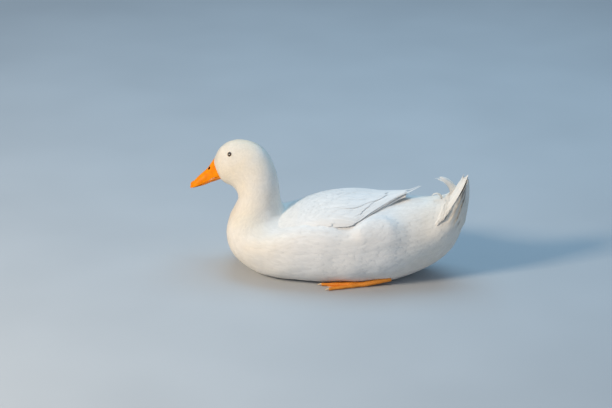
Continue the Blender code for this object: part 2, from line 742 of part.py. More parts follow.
def rectrices():
    """The fan of tail feathers, the outermost pair below and the middle pair on top."""
    made = []
    stations = 5
    for share in np.linspace(-TAIL_OUTER, TAIL_OUTER, TAIL_COUNT):
        reach = 0.965 + 0.035 * cos((TAIL_OUTER - abs(share)) * 2.5 * pi)
        frames = [fan_frame(step, share) for step in np.linspace(0.02, reach, stations)]
        out = np.array([frame[1] for frame in frames])
        lift = np.linspace(-0.0010, 0.0003 + 0.0022 * (1 - abs(share)), stations)[:, None]
        path = np.array([frame[0] for frame in frames]) + out * lift
        lean = TAIL_LEAN * (1 if share > 0 else -1)
        widths = feather_widths(stations, TAIL_HALF, blunt=1.8)
        made.append(vane(path, out, widths, lean=lean))
    return made


def last_coverts():
    made = []
    count, spread, half, reach = COVERTS_LAST
    for k in range(count):
        swing = (2.0 * k / (count - 1) - 1.0) * spread
        share = 0.85 * swing / spread
        places = np.array((22.6, 23.6, TAIL_END - 0.3))
        path, out = skin_surface(places, np.full(3, pi - swing))
        path = path + out * np.array((-0.0020, 0.0008, 0.0018))[:, None]
        point, face = fan_frame(reach, share)
        tip = point - face * (0.0022 + 0.0040 * (1 - abs(share)))
        path = np.concatenate((path, [(path[-1] + tip) / 2, tip]))
        out = np.concatenate((out, [out[-1] - face, -face]))
        made.append(vane(path, out, feather_widths(5, half)))
    return made


def tail_feathers():
    """The fan of tail feathers, the coverts under and over it, and the drake's curls."""
    rng = random.Random(SEED)
    made = rectrices()
    rows, first, step, long, half, proud = COVERTS_BELOW
    for row in range(rows):
        count = 4 - row % 2
        for k in range(count):
            angle = pi + radians(29.0) * (k - (count - 1) / 2)
            start = first + step * row
            end = start + long + rng.uniform(-0.1, 0.1)
            made.append(skin_vane(start, end, angle, half, proud))
    rows, first, step, long, half, proud = COVERTS_ABOVE
    for row in range(rows):
        for k in range(4):
            angle = radians(28.0 * row / 2 - 49.0 + 28.0 * k)
            start = first + step * row
            made.append(skin_vane(start, start + long, angle, half, proud))
    return made + last_coverts() + curls()


def skin_vane(start, end, angle, half, proud, count=4):
    """A vane that lies on the body loft along one angle, its tip standing proud."""
    places = np.linspace(start, min(end, TAIL_END - 0.05), count)
    path, out = skin_surface(places, np.full(count, angle))
    lift = np.linspace(-0.0012, proud, count)[:, None]
    return vane(path + out * lift, out, feather_widths(count, half))


def curls():
    """Curled feathers above the tail root, each an arc that rolls up and forward."""
    made = []
    count = 7
    roll = np.linspace(0.0, 1.0, count)
    for mid_y, mid_z, radius, first, last, half, x, lean in CURLS:
        angles = np.radians(np.linspace(first, last, count))
        y = mid_y + radius * np.cos(angles)
        z = mid_z + radius * np.sin(angles)
        path = np.stack((x + CURL_DRIFT * roll ** 2, y, z), axis=1)
        radial = np.stack((np.zeros(count), np.cos(angles), np.sin(angles)), axis=1)
        turn = (radians(lean) * (1.0 - 0.45 * roll))[:, None]
        out = radial * np.cos(turn) + np.array((1.0, 0.0, 0.0)) * np.sin(turn)
        widths = feather_widths(count, half, root=0.85, blunt=1.6)
        made.append(vane(path, out, widths, camber=0.10))
    return made


def tube(name, points, radii, slot, sides=8, flat=0.8):
    """A closed tapered limb along points, a little flatter than it is wide."""
    points = np.asarray(points, float)
    along = units(np.gradient(points, axis=0))
    rings = []
    for here, way, radius in zip(points, along, radii):
        side = np.cross(way, (0.0, 0.0, 1.0))
        side = side / np.linalg.norm(side)
        up = np.cross(side, way)
        ring = [here + side * radius * cos(a) + up * radius * flat * sin(a)
                for a in np.linspace(0.0, 2 * pi, sides, endpoint=False)]
        rings.append(np.array(ring))
    return loft(name, rings, slot)


def toe_and_claw(tip, flip):
    """One front toe with its joints' swellings, and the claw on it."""
    steps = np.linspace(0.0, 1.0, 7)
    points = FOOT_ROOT + (tip - FOOT_ROOT) * steps[:, None]
    radii = TOE_RADIUS * (1.1 - 0.45 * steps) * (1.0 + 0.12 * np.cos(steps * 6 * pi))
    toe = tube("toe", points * flip, radii, "foot", 6)
    way = (tip - FOOT_ROOT) / np.linalg.norm(tip - FOOT_ROOT)
    line = np.array((tip - way * 0.003, tip + way * 0.003, tip + way * CLAW_LENGTH - CLAW_DROP))
    return [toe, tube("claw", line * flip, CLAW_RADII, "foot", 6)]


def build_leg(side):
    """One tucked leg: the shank, three webbed toes, the small hind toe and the claws."""
    name = "leg_left" if side > 0 else "leg_right"
    flip = np.array((side, 1.0, 1.0))
    shank = tube(name, np.linspace(ANKLE, FOOT_ROOT, 4) * flip, SHANK_RADII, "foot")
    pieces = []
    for tip in TOE_TIPS:
        pieces += toe_and_claw(tip, flip)
    hind = np.linspace(FOOT_ROOT, HIND_TOE, 4) * flip
    pieces.append(tube("toe", hind, HIND_TOE_RADII, "foot"))
    for first, last in zip(TOE_TIPS[:-1], TOE_TIPS[1:]):
        pieces.append(web(first, last, flip))
    fuse(shank, pieces, "MANIFOLD")
    return shank


def web(first, last, flip):
    """The skin between two toes, a thin plate with a hollow front edge."""
    bottom, top, reach, hollow = WEB
    outline = [FOOT_ROOT]
    for share in np.linspace(0.0, 1.0, 7):
        ray = first + (last - first) * share - FOOT_ROOT
        outline.append(FOOT_ROOT + ray * (reach - hollow * sin(share * pi)))
    low = [(p[0], p[1], bottom) for p in outline]
    high = [(p[0], p[1], top) for p in outline]
    count = len(outline)
    faces = [tuple(range(count))[::-1], tuple(range(count, 2 * count))]
    for k in range(count):
        after = (k + 1) % count
        faces.append((k, after, after + count, k + count))
    made = mesh_object("web", np.array(low + high) * flip, faces, "foot")
    face_out(made)
    return made


def smooth(obj, angle=40.0):
    obj.data.shade_smooth()
    obj.data.set_sharp_from_angle(angle=radians(angle))


def build_wing(side, torso_cutter, neck_cutter):
    """One folded wing: its underlay and vanes as one body, clear of torso, neck and middle."""
    wing = wing_core("wing_left" if side > 0 else "wing_right", side)
    fuse(wing, wing_feathers(side), "MANIFOLD")
    cut(wing, torso_cutter, remove=False, solver="MANIFOLD")
    cut(wing, neck_cutter, remove=False, solver="MANIFOLD")
    near = WING_CLEAR * side
    far = -0.5 * side
    low = (min(near, far), -1.0, -1.0)
    high = (max(near, far), 1.0, 1.0)
    cut(wing, box_cutter(low, high), solver="MANIFOLD")


def main():
    clear_scene()
    build_head()
    neck = body_part("neck", HEAD_END, NECK_END, 9, sides=28)
    torso = body_part("torso", NECK_END, TORSO_END, 20, sides=32, forms=True)
    tail = body_part("tail", TORSO_END, TAIL_END, 7, cap_end=False, sides=24)
    fuse(tail, tail_feathers(), "MANIFOLD")
    torso_cutter = grown(torso)
    neck_cutter = grown(neck)
    cut(tail, torso_cutter, remove=False, solver="MANIFOLD")
    head_cutter = grown(bpy.data.objects["head"])
    build_upper_bill(head_cutter)
    build_lower_bill(head_cutter)
    for side in (1, -1):
        build_wing(side, torso_cutter, neck_cutter)
        leg = build_leg(side)
        cut(leg, box_cutter((-1.0, -1.0, -0.1), (1.0, 1.0, 0.0)), solver="MANIFOLD")
        cut(leg, torso_cutter, remove=False, solver="MANIFOLD")
    for cutter in (head_cutter, torso_cutter, neck_cutter):
        bpy.data.objects.remove(cutter, do_unlink=True)
    for made in bpy.data.objects:
        smooth(made)


main()
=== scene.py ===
from math import cos, pi, radians, sin
import bpy
import bmesh
import numpy as np
from mathutils import Matrix, Vector


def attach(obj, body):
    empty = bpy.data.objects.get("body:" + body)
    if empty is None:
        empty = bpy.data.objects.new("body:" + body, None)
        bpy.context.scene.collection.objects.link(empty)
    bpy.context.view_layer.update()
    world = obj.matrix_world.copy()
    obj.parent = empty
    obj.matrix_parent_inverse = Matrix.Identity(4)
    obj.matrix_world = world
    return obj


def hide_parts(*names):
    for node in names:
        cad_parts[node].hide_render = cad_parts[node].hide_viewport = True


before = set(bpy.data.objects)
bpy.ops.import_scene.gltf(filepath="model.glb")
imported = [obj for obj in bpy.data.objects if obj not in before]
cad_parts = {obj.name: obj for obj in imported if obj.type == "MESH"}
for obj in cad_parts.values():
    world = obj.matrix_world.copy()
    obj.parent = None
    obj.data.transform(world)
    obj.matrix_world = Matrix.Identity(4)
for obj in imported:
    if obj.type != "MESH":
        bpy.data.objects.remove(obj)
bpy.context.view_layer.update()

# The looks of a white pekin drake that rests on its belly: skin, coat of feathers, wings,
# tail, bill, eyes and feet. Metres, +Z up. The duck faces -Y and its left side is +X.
rng = np.random.default_rng(7)

# Oblique rings of the body: back point y, z; belly point y, z; half width; widest level
# from -1 at the belly to 1 at the back; fullness, where 2 is an ellipse.
BODY_RINGS = np.array((
    (-0.2085, 0.1830, -0.1990, 0.1600, 0.0080, 0.0, 2.0),
    (-0.2026, 0.1912, -0.1885, 0.1490, 0.0178, -0.1, 2.1),
    (-0.1964, 0.2040, -0.1830, 0.1450, 0.0238, -0.1, 2.1),
    (-0.1835, 0.2159, -0.1779, 0.1430, 0.0285, -0.1, 2.1),
    (-0.1635, 0.2223, -0.1725, 0.1410, 0.0315, -0.1, 2.0),
    (-0.1400, 0.2198, -0.1680, 0.1385, 0.0328, -0.1, 2.0),
    (-0.1200, 0.2105, -0.1645, 0.1355, 0.0335, -0.1, 2.0),
    (-0.1050, 0.1930, -0.1612, 0.1315, 0.0338, -0.05, 2.0),
    (-0.0945, 0.1710, -0.1590, 0.1270, 0.0350, 0.0, 2.0),
    (-0.0890, 0.1500, -0.1585, 0.1210, 0.0372, -0.02, 2.0),
    (-0.0868, 0.1300, -0.1615, 0.1135, 0.0415, -0.05, 2.0),
    (-0.0835, 0.1125, -0.1670, 0.1025, 0.0498, -0.12, 1.95),
    (-0.0745, 0.1000, -0.1745, 0.0880, 0.0620, -0.22, 1.9),
    (-0.0530, 0.1010, -0.1780, 0.0660, 0.0750, -0.27, 1.9),
    (-0.0290, 0.1120, -0.1710, 0.0370, 0.0885, -0.17, 2.05),
    (-0.0045, 0.1230, -0.1470, 0.0110, 0.0988, -0.07, 2.2),
    (0.0260, 0.1275, -0.1030, -0.0050, 0.1037, -0.06, 2.3),
    (0.0560, 0.1300, -0.0330, -0.0090, 0.1040, -0.08, 2.3),
    (0.0900, 0.1325, 0.0430, -0.0090, 0.0990, -0.06, 2.3),
    (0.1230, 0.1355, 0.1030, -0.0060, 0.0880, -0.02, 2.2),
    (0.1530, 0.1390, 0.1500, 0.0060, 0.0720, 0.0, 2.1),
    (0.1800, 0.1420, 0.1900, 0.0290, 0.0560, 0.0, 2.0),
    (0.2000, 0.1450, 0.2160, 0.0560, 0.0460, 0.0, 2.0),
    (0.2125, 0.1540, 0.2315, 0.0880, 0.0395, 0.0, 2.0),
    (0.2215, 0.1650, 0.2380, 0.1220, 0.0320, 0.0, 2.0),
    (0.2290, 0.1760, 0.2412, 0.1550, 0.0225, 0.0, 2.0),
))
LAST_RING = len(BODY_RINGS) - 1.0

# The head's roll and yaw are full up to one ring place and gone from another on.
HEAD_ROLL = radians(10.0)
HEAD_YAW = radians(5.0)
HEAD_PIVOT = np.array((0.0, -0.118, 0.130))
TURN_FULL = 6.0
TURN_NONE = 11.0
FLOOR_GAP = 0.0003

# How deep the coat is, by ring place: the skin lies this far inside the solids' surface.
COAT_PLACES = (0.0, 1.0, 4.0, 8.0, 12.0, 16.0, 20.0, 25.0)
COAT_DEPTHS = (0.0006, 0.0008, 0.0010, 0.0014, 0.0018, 0.0022, 0.0020, 0.0014)
LONGEST_COAT = 0.030
LEAST_GAP = 0.0009
THIN = 0.0003
PLUMAGE_SHARP = radians(60.0)

# Soft forms of the coat on both sides, at the flank, the breast's side, the tail root and the
# lower back: middle |x|, y, z; reach along y and along z; height.
FORMS = (
    (0.090, -0.004, 0.095, 0.064, 0.024, 0.0062),
    (0.078, -0.100, 0.060, 0.040, 0.030, 0.0014),
    (0.048, 0.203, 0.100, 0.020, 0.022, 0.0040),
    (0.0, 0.098, 0.133, 0.018, 0.030, 0.0060),
)
FORM_REACH_X = 0.05

# The tuft over the thigh, which laps over the wing: middle y and z, half sizes, height. It
# and the coat's swirl round it keep clear of the middle plane.
TUFT = (0.1030, 0.0955, 0.0500, 0.0290, 0.0060)
TUFT_CLEAR = 0.02
LIE_CLEAR = 0.03
WHITE = (0.80, 0.80, 0.80)
CREAM = (0.85, 0.71, 0.49)

# Where the cream begins and is full, by y, and its strength at both.
CREAM_FRONT = (-0.03, -0.16, 0.12, 1.0)
# Over the rump and tail this cream is painted warm light.
REAR_PAINTED_WARM_LIGHT = (0.115, 0.175, 0.0, 0.45)
BILL_TIP = np.array((0.0, -0.247, 0.130))

# Back from the tip; culmen height; height of the upper edge; half width.
UPPER_BILL = np.array((
    (-0.0010, 0.0036, 0.0018, 0.0010),
    (0.0000, 0.0062, 0.0006, 0.0060),
    (0.0030, 0.0103, 0.0010, 0.0108),
    (0.0080, 0.0160, 0.0030, 0.0138),
    (0.0150, 0.0238, 0.0058, 0.0146),
    (0.0220, 0.0303, 0.0094, 0.0142),
    (0.0300, 0.0388, 0.0138, 0.0137),
    (0.0370, 0.0497, 0.0180, 0.0142),
    (0.0440, 0.0600, 0.0228, 0.0155),
    (0.0520, 0.0650, 0.0262, 0.0172),
    (0.0600, 0.0600, 0.0272, 0.0165),
))

# Back from the tip; lower edge; half width.
LOWER_BILL = np.array((
    (0.0040, 0.0004, 0.0050),
    (0.0080, 0.0016, 0.0108),
    (0.0160, 0.0038, 0.0128),
    (0.0260, 0.0074, 0.0130),
    (0.0350, 0.0120, 0.0132),
    (0.0450, 0.0160, 0.0142),
    (0.0550, 0.0204, 0.0160),
    (0.0650, 0.0236, 0.0165),
))

# Places on the head are given back from the bill's tip and up.
MOUTH_GAP = 0.00075
NOSTRIL = (0.0350, 0.0385)
NOSTRIL_SIDE = 0.0088
NOSTRIL_SIZE = (0.0022, 0.0034, 0.0016)
NOSTRIL_SLOPE = radians(50.0)
# Colour painted into the nostril holes as shade.
NOSTRIL_PAINTED_SHADE = (0.10, 0.02, 0.005)
NAIL = (0.0035, 0.0085)
NAIL_SIZE = (0.0046, 0.0058, 0.0030)
NAIL_SLOPE = radians(38.0)
HARD_SHARP = radians(50.0)
EYE_PLACE = (0.0755, 0.0697)
EYE_RADIUS = 0.0060
EYE_PROUD = 0.0022

# The lid's ring: radius, how much flatter it is above and below, half sizes of its section.
LID_RADIUS = 0.0046
LID_FLAT = 0.10
LID_WIDE = 0.0007
LID_HIGH = 0.0006
LID_STEPS = 48
LID_SIDES = 10

# The folded wings lie on a hull over the back. Station y; half width; crest height; level.
WING_HULL = np.array((
    (-0.120, 0.066, 0.0850, 0.058),
    (-0.100, 0.079, 0.0905, 0.0605),
    (-0.085, 0.088, 0.0985, 0.0615),
    (-0.070, 0.0945, 0.1060, 0.0625),
    (-0.045, 0.1020, 0.1205, 0.064),
    (-0.010, 0.1080, 0.1335, 0.0655),
    (0.030, 0.1100, 0.1412, 0.066),
    (0.070, 0.1035, 0.1430, 0.068),
    (0.105, 0.084, 0.1465, 0.078),
    (0.140, 0.058, 0.1555, 0.098),
    (0.170, 0.034, 0.1715, 0.125),
    (0.190, 0.030, 0.181, 0.138),
))

# Outline of the folded wing: y and angle down from the crest of its lower and hind edge.
WING_EDGE = np.array((
    (-0.112, 24.0), (-0.104, 30.0), (-0.095, 36.5), (-0.088, 41.0), (-0.080, 45.0), (-0.070, 49.0),
    (-0.060, 51.7), (-0.045, 53.8), (-0.030, 54.2), (-0.010, 53.6), (0.010, 52.2), (0.030, 51.7),
    (0.045, 51.9), (0.056, 50.8), (0.065, 46.5), (0.075, 40.5), (0.085, 35.2), (0.095, 30.1),
    (0.105, 24.8), (0.115, 19.3), (0.125, 14.0), (0.140, 9.5), (0.165, 6.5),
))
WING_CREST = 3.0
WING_START = -0.110
WING_END = 0.165

# What the folded wings cover of the body: y from and to, and degrees short of their edge.
COVERED_START = -0.050
COVERED_END = 0.088
COVERED_MARGIN = 9.0

# The wing's underlay: y from and to; place of its edge; where it thins; depths under the hull.
SLAB_LENGTH = (-0.100, 0.134)
SLAB_EDGE = 0.95
SLAB_THINS = (0.080, 0.125)
SLAB_TOP = -0.0062
SLAB_LOW = -0.0125

# Long feathers of the wing, lowest tier first. Each row: how many; y at the first and last
# root; place of their outer edge across the wing there; y at the tips; place of the outer
# edge at the tips; half width; height at root and tip; lean; bluntness of the tip.
WING_ROWS = (
    (4, (0.05, 0.044), (0.99, 0.9), (0.159, 0.144), (1.0, 0.7), 0.005, -0.0062, -0.0024, 0.05, 1.8),
    (9, (0.006, 0.026), (0.99, 0.6), (0.137, 0.126), (0.92, 0.45), 0.0066, -0.006, -0.0018, 0.06, 2.6),
    (5, (0.02, 0.034), (0.6, 0.16), (0.137, 0.132), (0.6, 0.24), 0.0084, -0.0056, -0.0017, 0.01, 2.8),
    (4, (-0.02, -0.01), (1.0, 0.88), (0.056, 0.07), (0.99, 0.9), 0.0076, -0.0056, -0.0017, 0.04, 3.4),
    (9, (-0.008, 0.016), (0.9, 0.4), (0.06, 0.092), (0.88, 0.42), 0.0086, -0.0056, -0.0012, 0.04, 3.4),
    (6, (0.006, 0.016), (0.44, 0.12), (0.094, 0.102), (0.43, 0.15), 0.01, -0.0052, -0.0008, 0.04, 3.2),
    (11, (-0.042, -0.006), (0.995, 0.5), (0.02, 0.06), (0.99, 0.48), 0.0074, -0.005, -0.001, 0.03, 3.2),
    (7, (-0.012, 0.0), (0.52, 0.1), (0.068, 0.078), (0.5, 0.11), 0.0096, -0.0048, -0.0005, 0.03, 3.0),
    (13, (-0.06, -0.028), (0.99, 0.44), (-0.004, 0.034), (0.985, 0.44), 0.0066, -0.0044, -0.0007, 0.02, 3.0),
    (8, (-0.034, -0.022), (0.48, 0.08), (0.04, 0.05), (0.46, 0.08), 0.0088, -0.0044, -0.0003, 0.02, 3.0),
)

# At the wing's lower edge the feathers tuck in, up to this y.
EDGE_TUCK = 0.32
TUCK_END = 0.10

# Small coverts begin here, and end here at the lower edge and at the crest. The mantle's half
# width is in degrees of the hull.
SMALL_START = WING_START + 0.004
SMALL_COVERTS_END = (-0.020, 0.012)
MANTLE_HALF = 30.0

# The cocked tail is a fan: how far its root bends round, how far its surface goes, and how
# high its tip is.
FAN_BEND = radians(80.0)
FAN_END = 1.04
FAN_EDGE = 1.10
FAN_TOP = 0.1880

# Half width and y of the fan's root, middle and tip; z and height of the root's arc.
FAN_HALVES = (0.0535, 0.041, 0.025)
FAN_YS = (0.196, 0.2240, 0.2350)
FAN_ARC = (0.092, 0.043)
FAN_MIDDLE = 0.1620

# Feathers on each side of the fan, their root along it, length, half width and thickness.
TAIL_PAIRS = 9
TAIL_ROOT = 0.02
TAIL_LENGTH = 0.10
TAIL_HALF = 0.0080
TAIL_THICK = 0.0005
TAIL_SHAFT = 0.0002

# Rows of coverts under the tail: ring place of the roots, how many, how far round the stern
# they go, and the place of their tips along the fan. Each starts in the body, rises over it in
# steps, given as share of the way and height, and leaves it at the stern.
COVERT_ROWS = ((22.2, 13, 1.80, 0.60), (23.0, 13, 1.75, 0.78), (23.9, 12, 1.65, 0.92))
COVERT_HALF = 0.0085
COVERT_STEPS = ((0.0, -0.0020), (0.45, 0.0010), (0.85, 0.0016))
STERN_PLACE = 24.7

# Each curl: its arc's centre y and z, its radius, first and last angle, half width, x, and
# how far its face turns to the side, in degrees.
CURLS = (
    (0.1880, 0.1555, 0.0300, -36.0, 80.0, 0.0084, 0.0080, 55.0),
    (0.1875, 0.1520, 0.0265, -34.0, 86.0, 0.0056, 0.0010, 35.0),
    (0.1900, 0.1540, 0.0235, -38.0, 104.0, 0.0048, -0.0060, -25.0),
    (0.1880, 0.1440, 0.0090, -50.0, 150.0, 0.0034, 0.0040, 30.0),
)

# The left foot and its claws. The webs reach part of the way to the tips of the toes.
ANKLE = np.array((0.058, 0.118, 0.0120))
FOOT_ROOT = np.array((0.074, 0.074, 0.0045))
TOE_TIPS = np.array(((0.062, 0.020, 0.0028), (0.083, 0.002, 0.0028), (0.101, 0.018, 0.0028)))
HIND_TOE = np.array((0.060, 0.090, 0.0026))
TOE_RADIUS = 0.0044
SHANK_RADII = (0.0062, 0.0056)
HIND_RADII = (0.0040, 0.0016)
LIMB_FLAT = 0.8
CLAW_RADII = (0.0021, 0.0005)
CLAW_BACK = -0.003
CLAW_LENGTH = 0.010
CLAW_LIFT = 0.0012
WEB_REACH = 0.92
WEB_HOLLOW = 0.16
WEB_THICK = 0.0016
WEB_RIM = 0.0012

# Rows and columns of the surfaces.
BODY_GRID = (700, 256)
SKIN_GRID = (300, 96)
WING_GRID = (260, 160)
SLAB_GRID = (80, 26)
MANTLE_GRID = (190, 80)
FAN_GRID = (120, 100)

# The camera stands where the photo's did, at the photo's scale.
CAMERA_AZIMUTH = radians(100.0)
CAMERA_HEIGHT = radians(21.0)
CAMERA_LENS = 120.0
SENSOR = 36.0
PHOTO_WIDTH = 612.0
PIXELS_PER_METRE = 575.0
LOOK_AT = Vector((0.0, -0.0397, 0.1164))

# Lights: name, place, size, power, colour.
LIGHTS = (
    ("key", (1.65, -1.75, 1.50), 0.6, 64.0, (1.0, 0.84, 0.66)),
    ("sky", (-0.8, 0.1, 2.2), 1.8, 31.0, (0.42, 0.74, 1.0)),
    ("low", (2.2, 0.9, 0.5), 1.2, 3.0, (1.0, 0.95, 0.88)),
)
LIT_POINT = Vector((0.0, 0.0, 0.1))
WORLD_COLOUR = (0.56, 0.74, 0.96)
WORLD_STRENGTH = 0.34
FLOOR_HALF = 6.0


def units(vectors):
    return vectors / np.maximum(np.linalg.norm(vectors, axis=-1, keepdims=True), 1e-9)


def spline(rows, places):
    """Rows of values read along a smooth curve through them, at places from 0 to the last row."""
    places = np.clip(np.atleast_1d(places), 0.0, len(rows) - 1.0)
    first = np.minimum(places.astype(int), len(rows) - 2)
    part = (places - first)[:, None]
    before = rows[np.maximum(first - 1, 0)]
    start = rows[first]
    end = rows[first + 1]
    after = rows[np.minimum(first + 2, len(rows) - 1)]
    return 0.5 * (2 * start + (end - before) * part
                  + (2 * before - 5 * start + 4 * end - after) * part ** 2
                  + (3 * start - before - 3 * end + after) * part ** 3)


def by_first(rows, value):
    """The other columns of rows where the first column, which rises, has this value."""
    return spline(rows[:, 1:], np.interp(value, rows[:, 0], np.arange(len(rows))))


def ease(low, high, value):
    share = np.clip((np.asarray(value, float) - low) / (high - low), 0.0, 1.0)
    return share * share * (3.0 - 2.0 * share)


def turned(points, share=1.0):
    """Points of the head or neck, rolled and yawed about the pivot by a share of the full turn."""
    rel = np.asarray(points, float) - HEAD_PIVOT
    roll = HEAD_ROLL * share
    yaw = HEAD_YAW * share
    x = rel[..., 0] * np.cos(roll) - rel[..., 2] * np.sin(roll)
    z = rel[..., 0] * np.sin(roll) + rel[..., 2] * np.cos(roll)
    y = rel[..., 1] * np.cos(yaw) - x * np.sin(yaw)
    x = x * np.cos(yaw) + rel[..., 1] * np.sin(yaw)
    return np.stack((x, y, z), axis=-1) + HEAD_PIVOT


def head_point(back, up, left=0.0):
    """A place on the head, measured from the bill's tip, after the head's turn."""
    return turned(BILL_TIP + np.array((left, back, up)))


def head_turn():
    """The head's turn as a matrix."""
    axes = turned(np.eye(3) + HEAD_PIVOT) - HEAD_PIVOT
    return Matrix(axes.T.tolist()).to_4x4()


def body_points(places, angles):
    """Points of the body's surface at every ring place and every angle from the back."""
    values = spline(BODY_RINGS, places)
    back_y, back_z, belly_y, belly_z, wide, level, full = (values[:, k, None] for k in range(7))
    half_y = (back_y - belly_y) / 2
    half_z = (back_z - belly_z) / 2
    c = np.cos(angles)[None, :]
    s = np.sin(angles)[None, :]
    up = np.sign(c) * np.abs(c) ** (2 / full)
    side = np.sign(s) * np.abs(s) ** (2 / full)
    up = up + level * (1 - up ** 2)
    y = (back_y + belly_y) / 2 + half_y * up
    z = (back_z + belly_z) / 2 + half_z * up
    points = np.stack((side * wide, y, z), axis=-1)
    share = 1.0 - ease(TURN_FULL, TURN_NONE, places)[:, None]
    return turned(points, share)


class Patch:
    """A smooth surface kept as a grid of points and outward directions, read at any place."""

    def __init__(self, points, low, high, wraps=False, side=1):
        self.points = points
        self.low = np.array(low, float)
        self.high = np.array(high, float)
        self.wraps = wraps
        rows, columns = points.shape[:2]
        self.cells = np.array((rows - 1, columns if wraps else columns - 1), float)
        along = np.gradient(points, axis=0)
        if wraps:
            around = (np.roll(points, -1, axis=1) - np.roll(points, 1, axis=1)) / 2
        else:
            around = np.gradient(points, axis=1)
        self.out = units(np.cross(around, along)) * side
        self.side = side
        cell = (self.high - self.low) / self.cells
        self.along = np.linalg.norm(along, axis=-1, keepdims=True) / cell[0]
        self.around = np.linalg.norm(around, axis=-1, keepdims=True) / cell[1]

    def facing(self, p, q):
        return self.read(self.out, p, q)

    def at(self, p, q, lift=0.0):
        """Points of the surface, raised by a lift along the way it faces."""
        return self.read(self.points, p, q) + self.facing(p, q) * np.asarray(lift)[..., None]

    def read(self, field, p, q):
        """A field of the grid at places p along and q around, between its nearest points."""
        rows, columns = field.shape[:2]
        i = np.clip((p - self.low[0]) / (self.high[0] - self.low[0]), 0.0, 1.0) * self.cells[0]
        j = (q - self.low[1]) / (self.high[1] - self.low[1]) * self.cells[1]
        if not self.wraps:
            j = np.clip(j, 0.0, self.cells[1])
        i0 = np.minimum(np.floor(i).astype(int), rows - 2)
        j0 = np.floor(j).astype(int)
        if not self.wraps:
            j0 = np.minimum(j0, columns - 2)
        a = (i - i0)[..., None]
        b = (j - j0)[..., None]
        j1 = (j0 + 1) % columns
        j0 = j0 % columns
        near = field[i0, j0] * (1 - b) + field[i0, j1] * b
        far = field[i0 + 1, j0] * (1 - b) + field[i0 + 1, j1] * b
        return near * (1 - a) + far * a


def tuft_share(points):
    """How far inside the thigh tuft each point is: 1 on its middle, 0 outside it."""
    y, z, long, high, _ = TUFT
    along = (points[..., 1] - y) / long
    above = (points[..., 2] - z) / high
    reach = np.maximum(np.hypot(along, above), 1e-6)
    crisp = ease(-0.2, 0.9, (above * 0.85 - along * 0.45) / reach)
    share = 1.0 - ease(0.05 + 0.68 * crisp, 1.06, reach)
    return share * (np.abs(points[..., 0]) > TUFT_CLEAR)


def soft_relief(points, waves, size, seed):
    """A gentle unevenness over points: many slow waves of about this size, of height one."""
    draws = np.random.default_rng(seed)
    ways = units(draws.normal(size=(waves, 3)))
    sizes = size * draws.uniform(0.7, 1.5, waves)
    phases = draws.uniform(0.0, 2 * pi, waves)
    total = np.zeros(points.shape[:-1])
    for way, length, phase in zip(ways, sizes, phases):
        total += np.sin(points @ way * (2 * pi / length) + phase)
    return total / waves ** 0.5


def coat_forms(points):
    """Height of the coat's soft forms over the body."""
    height = TUFT[4] * tuft_share(points)
    for x, y, z, along, above, rise in FORMS:
        far = ((points[..., 1] - y) / along) ** 2 + ((points[..., 2] - z) / above) ** 2
        far = far + ((np.abs(points[..., 0]) - x) / FORM_REACH_X) ** 2
        height = height + rise * np.exp(-far)
    return height


def body_patch():
    """The body's surface with the coat's unevenness and soft forms, by ring place and angle."""
    places = np.linspace(0.0, LAST_RING, BODY_GRID[0])
    angles = np.linspace(0.0, 2 * pi, BODY_GRID[1], endpoint=False)
    points = body_points(places, angles)
    plain = Patch(points, (0.0, 0.0), (LAST_RING, 2 * pi), wraps=True)
    height = 0.0003 + 0.0006 * ease(9.0, 15.0, places)
    relief = soft_relief(points, waves=24, size=0.055, seed=3) * height[:, None] + coat_forms(points)
    points = points + plain.out * relief[..., None]
    points[..., 2] = np.maximum(points[..., 2], 0.0)
    return Patch(points, (0.0, 0.0), (LAST_RING, 2 * pi), wraps=True)


def hull_points(ys, angles, side):
    """Points of the hull over the back at each station, at angles down from its crest."""
    wide, crest, level = (column[:, None] for column in by_first(WING_HULL, ys).T)
    return np.stack((side * wide * np.sin(angles), np.broadcast_to(ys[:, None], angles.shape),
                     level + (crest - level) * np.cos(angles)), axis=-1)


def wing_patch(side):
    """The folded wing's surface. Across it, 0 is the crest line and 1 the lower and hind edge."""
    rows, columns = WING_GRID
    ys = np.linspace(WING_START, WING_END, rows)
    shares = np.linspace(-1.0, 1.05, columns)
    edge = by_first(WING_EDGE, ys)[:, :1]
    angles = np.radians(WING_CREST + shares[None, :] * (edge - WING_CREST))
    return Patch(hull_points(ys, angles, side), (WING_START, -1.0), (WING_END, 1.05), side=side)


def mantle_patch():
    """The hull's middle strip, from one wing over the crest to the other."""
    rows, columns = MANTLE_GRID
    ys = np.linspace(WING_START, 0.140, rows)
    angles = np.radians(np.broadcast_to(np.linspace(-MANTLE_HALF, MANTLE_HALF, columns), MANTLE_GRID))
    return Patch(hull_points(ys, angles, 1), (ys[0], -1.0), (ys[-1], 1.0))


def placed(name, data):
    """A new object in the scene."""
    made = bpy.data.objects.new(name, data)
    bpy.context.scene.collection.objects.link(made)
    return made


def mesh_piece(name, points, triangles, material, uvs=None, tone=None):
    """A mesh object from arrays. uvs maps a layer's name to one pair for each point."""
    mesh = bpy.data.meshes.new(name)
    count = len(triangles)
    corners = np.asarray(triangles, np.int32).ravel()
    mesh.vertices.add(len(points))
    mesh.vertices.foreach_set("co", np.asarray(points, np.float32).ravel())
    mesh.loops.add(count * 3)
    mesh.loops.foreach_set("vertex_index", corners)
    mesh.polygons.add(count)
    mesh.polygons.foreach_set("loop_start", np.arange(0, count * 3, 3, dtype=np.int32))
    mesh.update(calc_edges=True)
    mesh.validate()
    for layer, values in (uvs or {}).items():
        places = np.asarray(values, np.float32)[corners]
        mesh.uv_layers.new(name=layer).data.foreach_set("uv", places.ravel())
    if tone is not None:
        attribute = mesh.attributes.new("tone", "FLOAT", "POINT")
        attribute.data.foreach_set("value", np.asarray(tone, np.float32))
    mesh.materials.append(material)
    mesh.shade_smooth()
    mesh.set_sharp_from_angle(angle=PLUMAGE_SHARP)
    piece = placed(name, mesh)
    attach(piece, "root")
    return piece


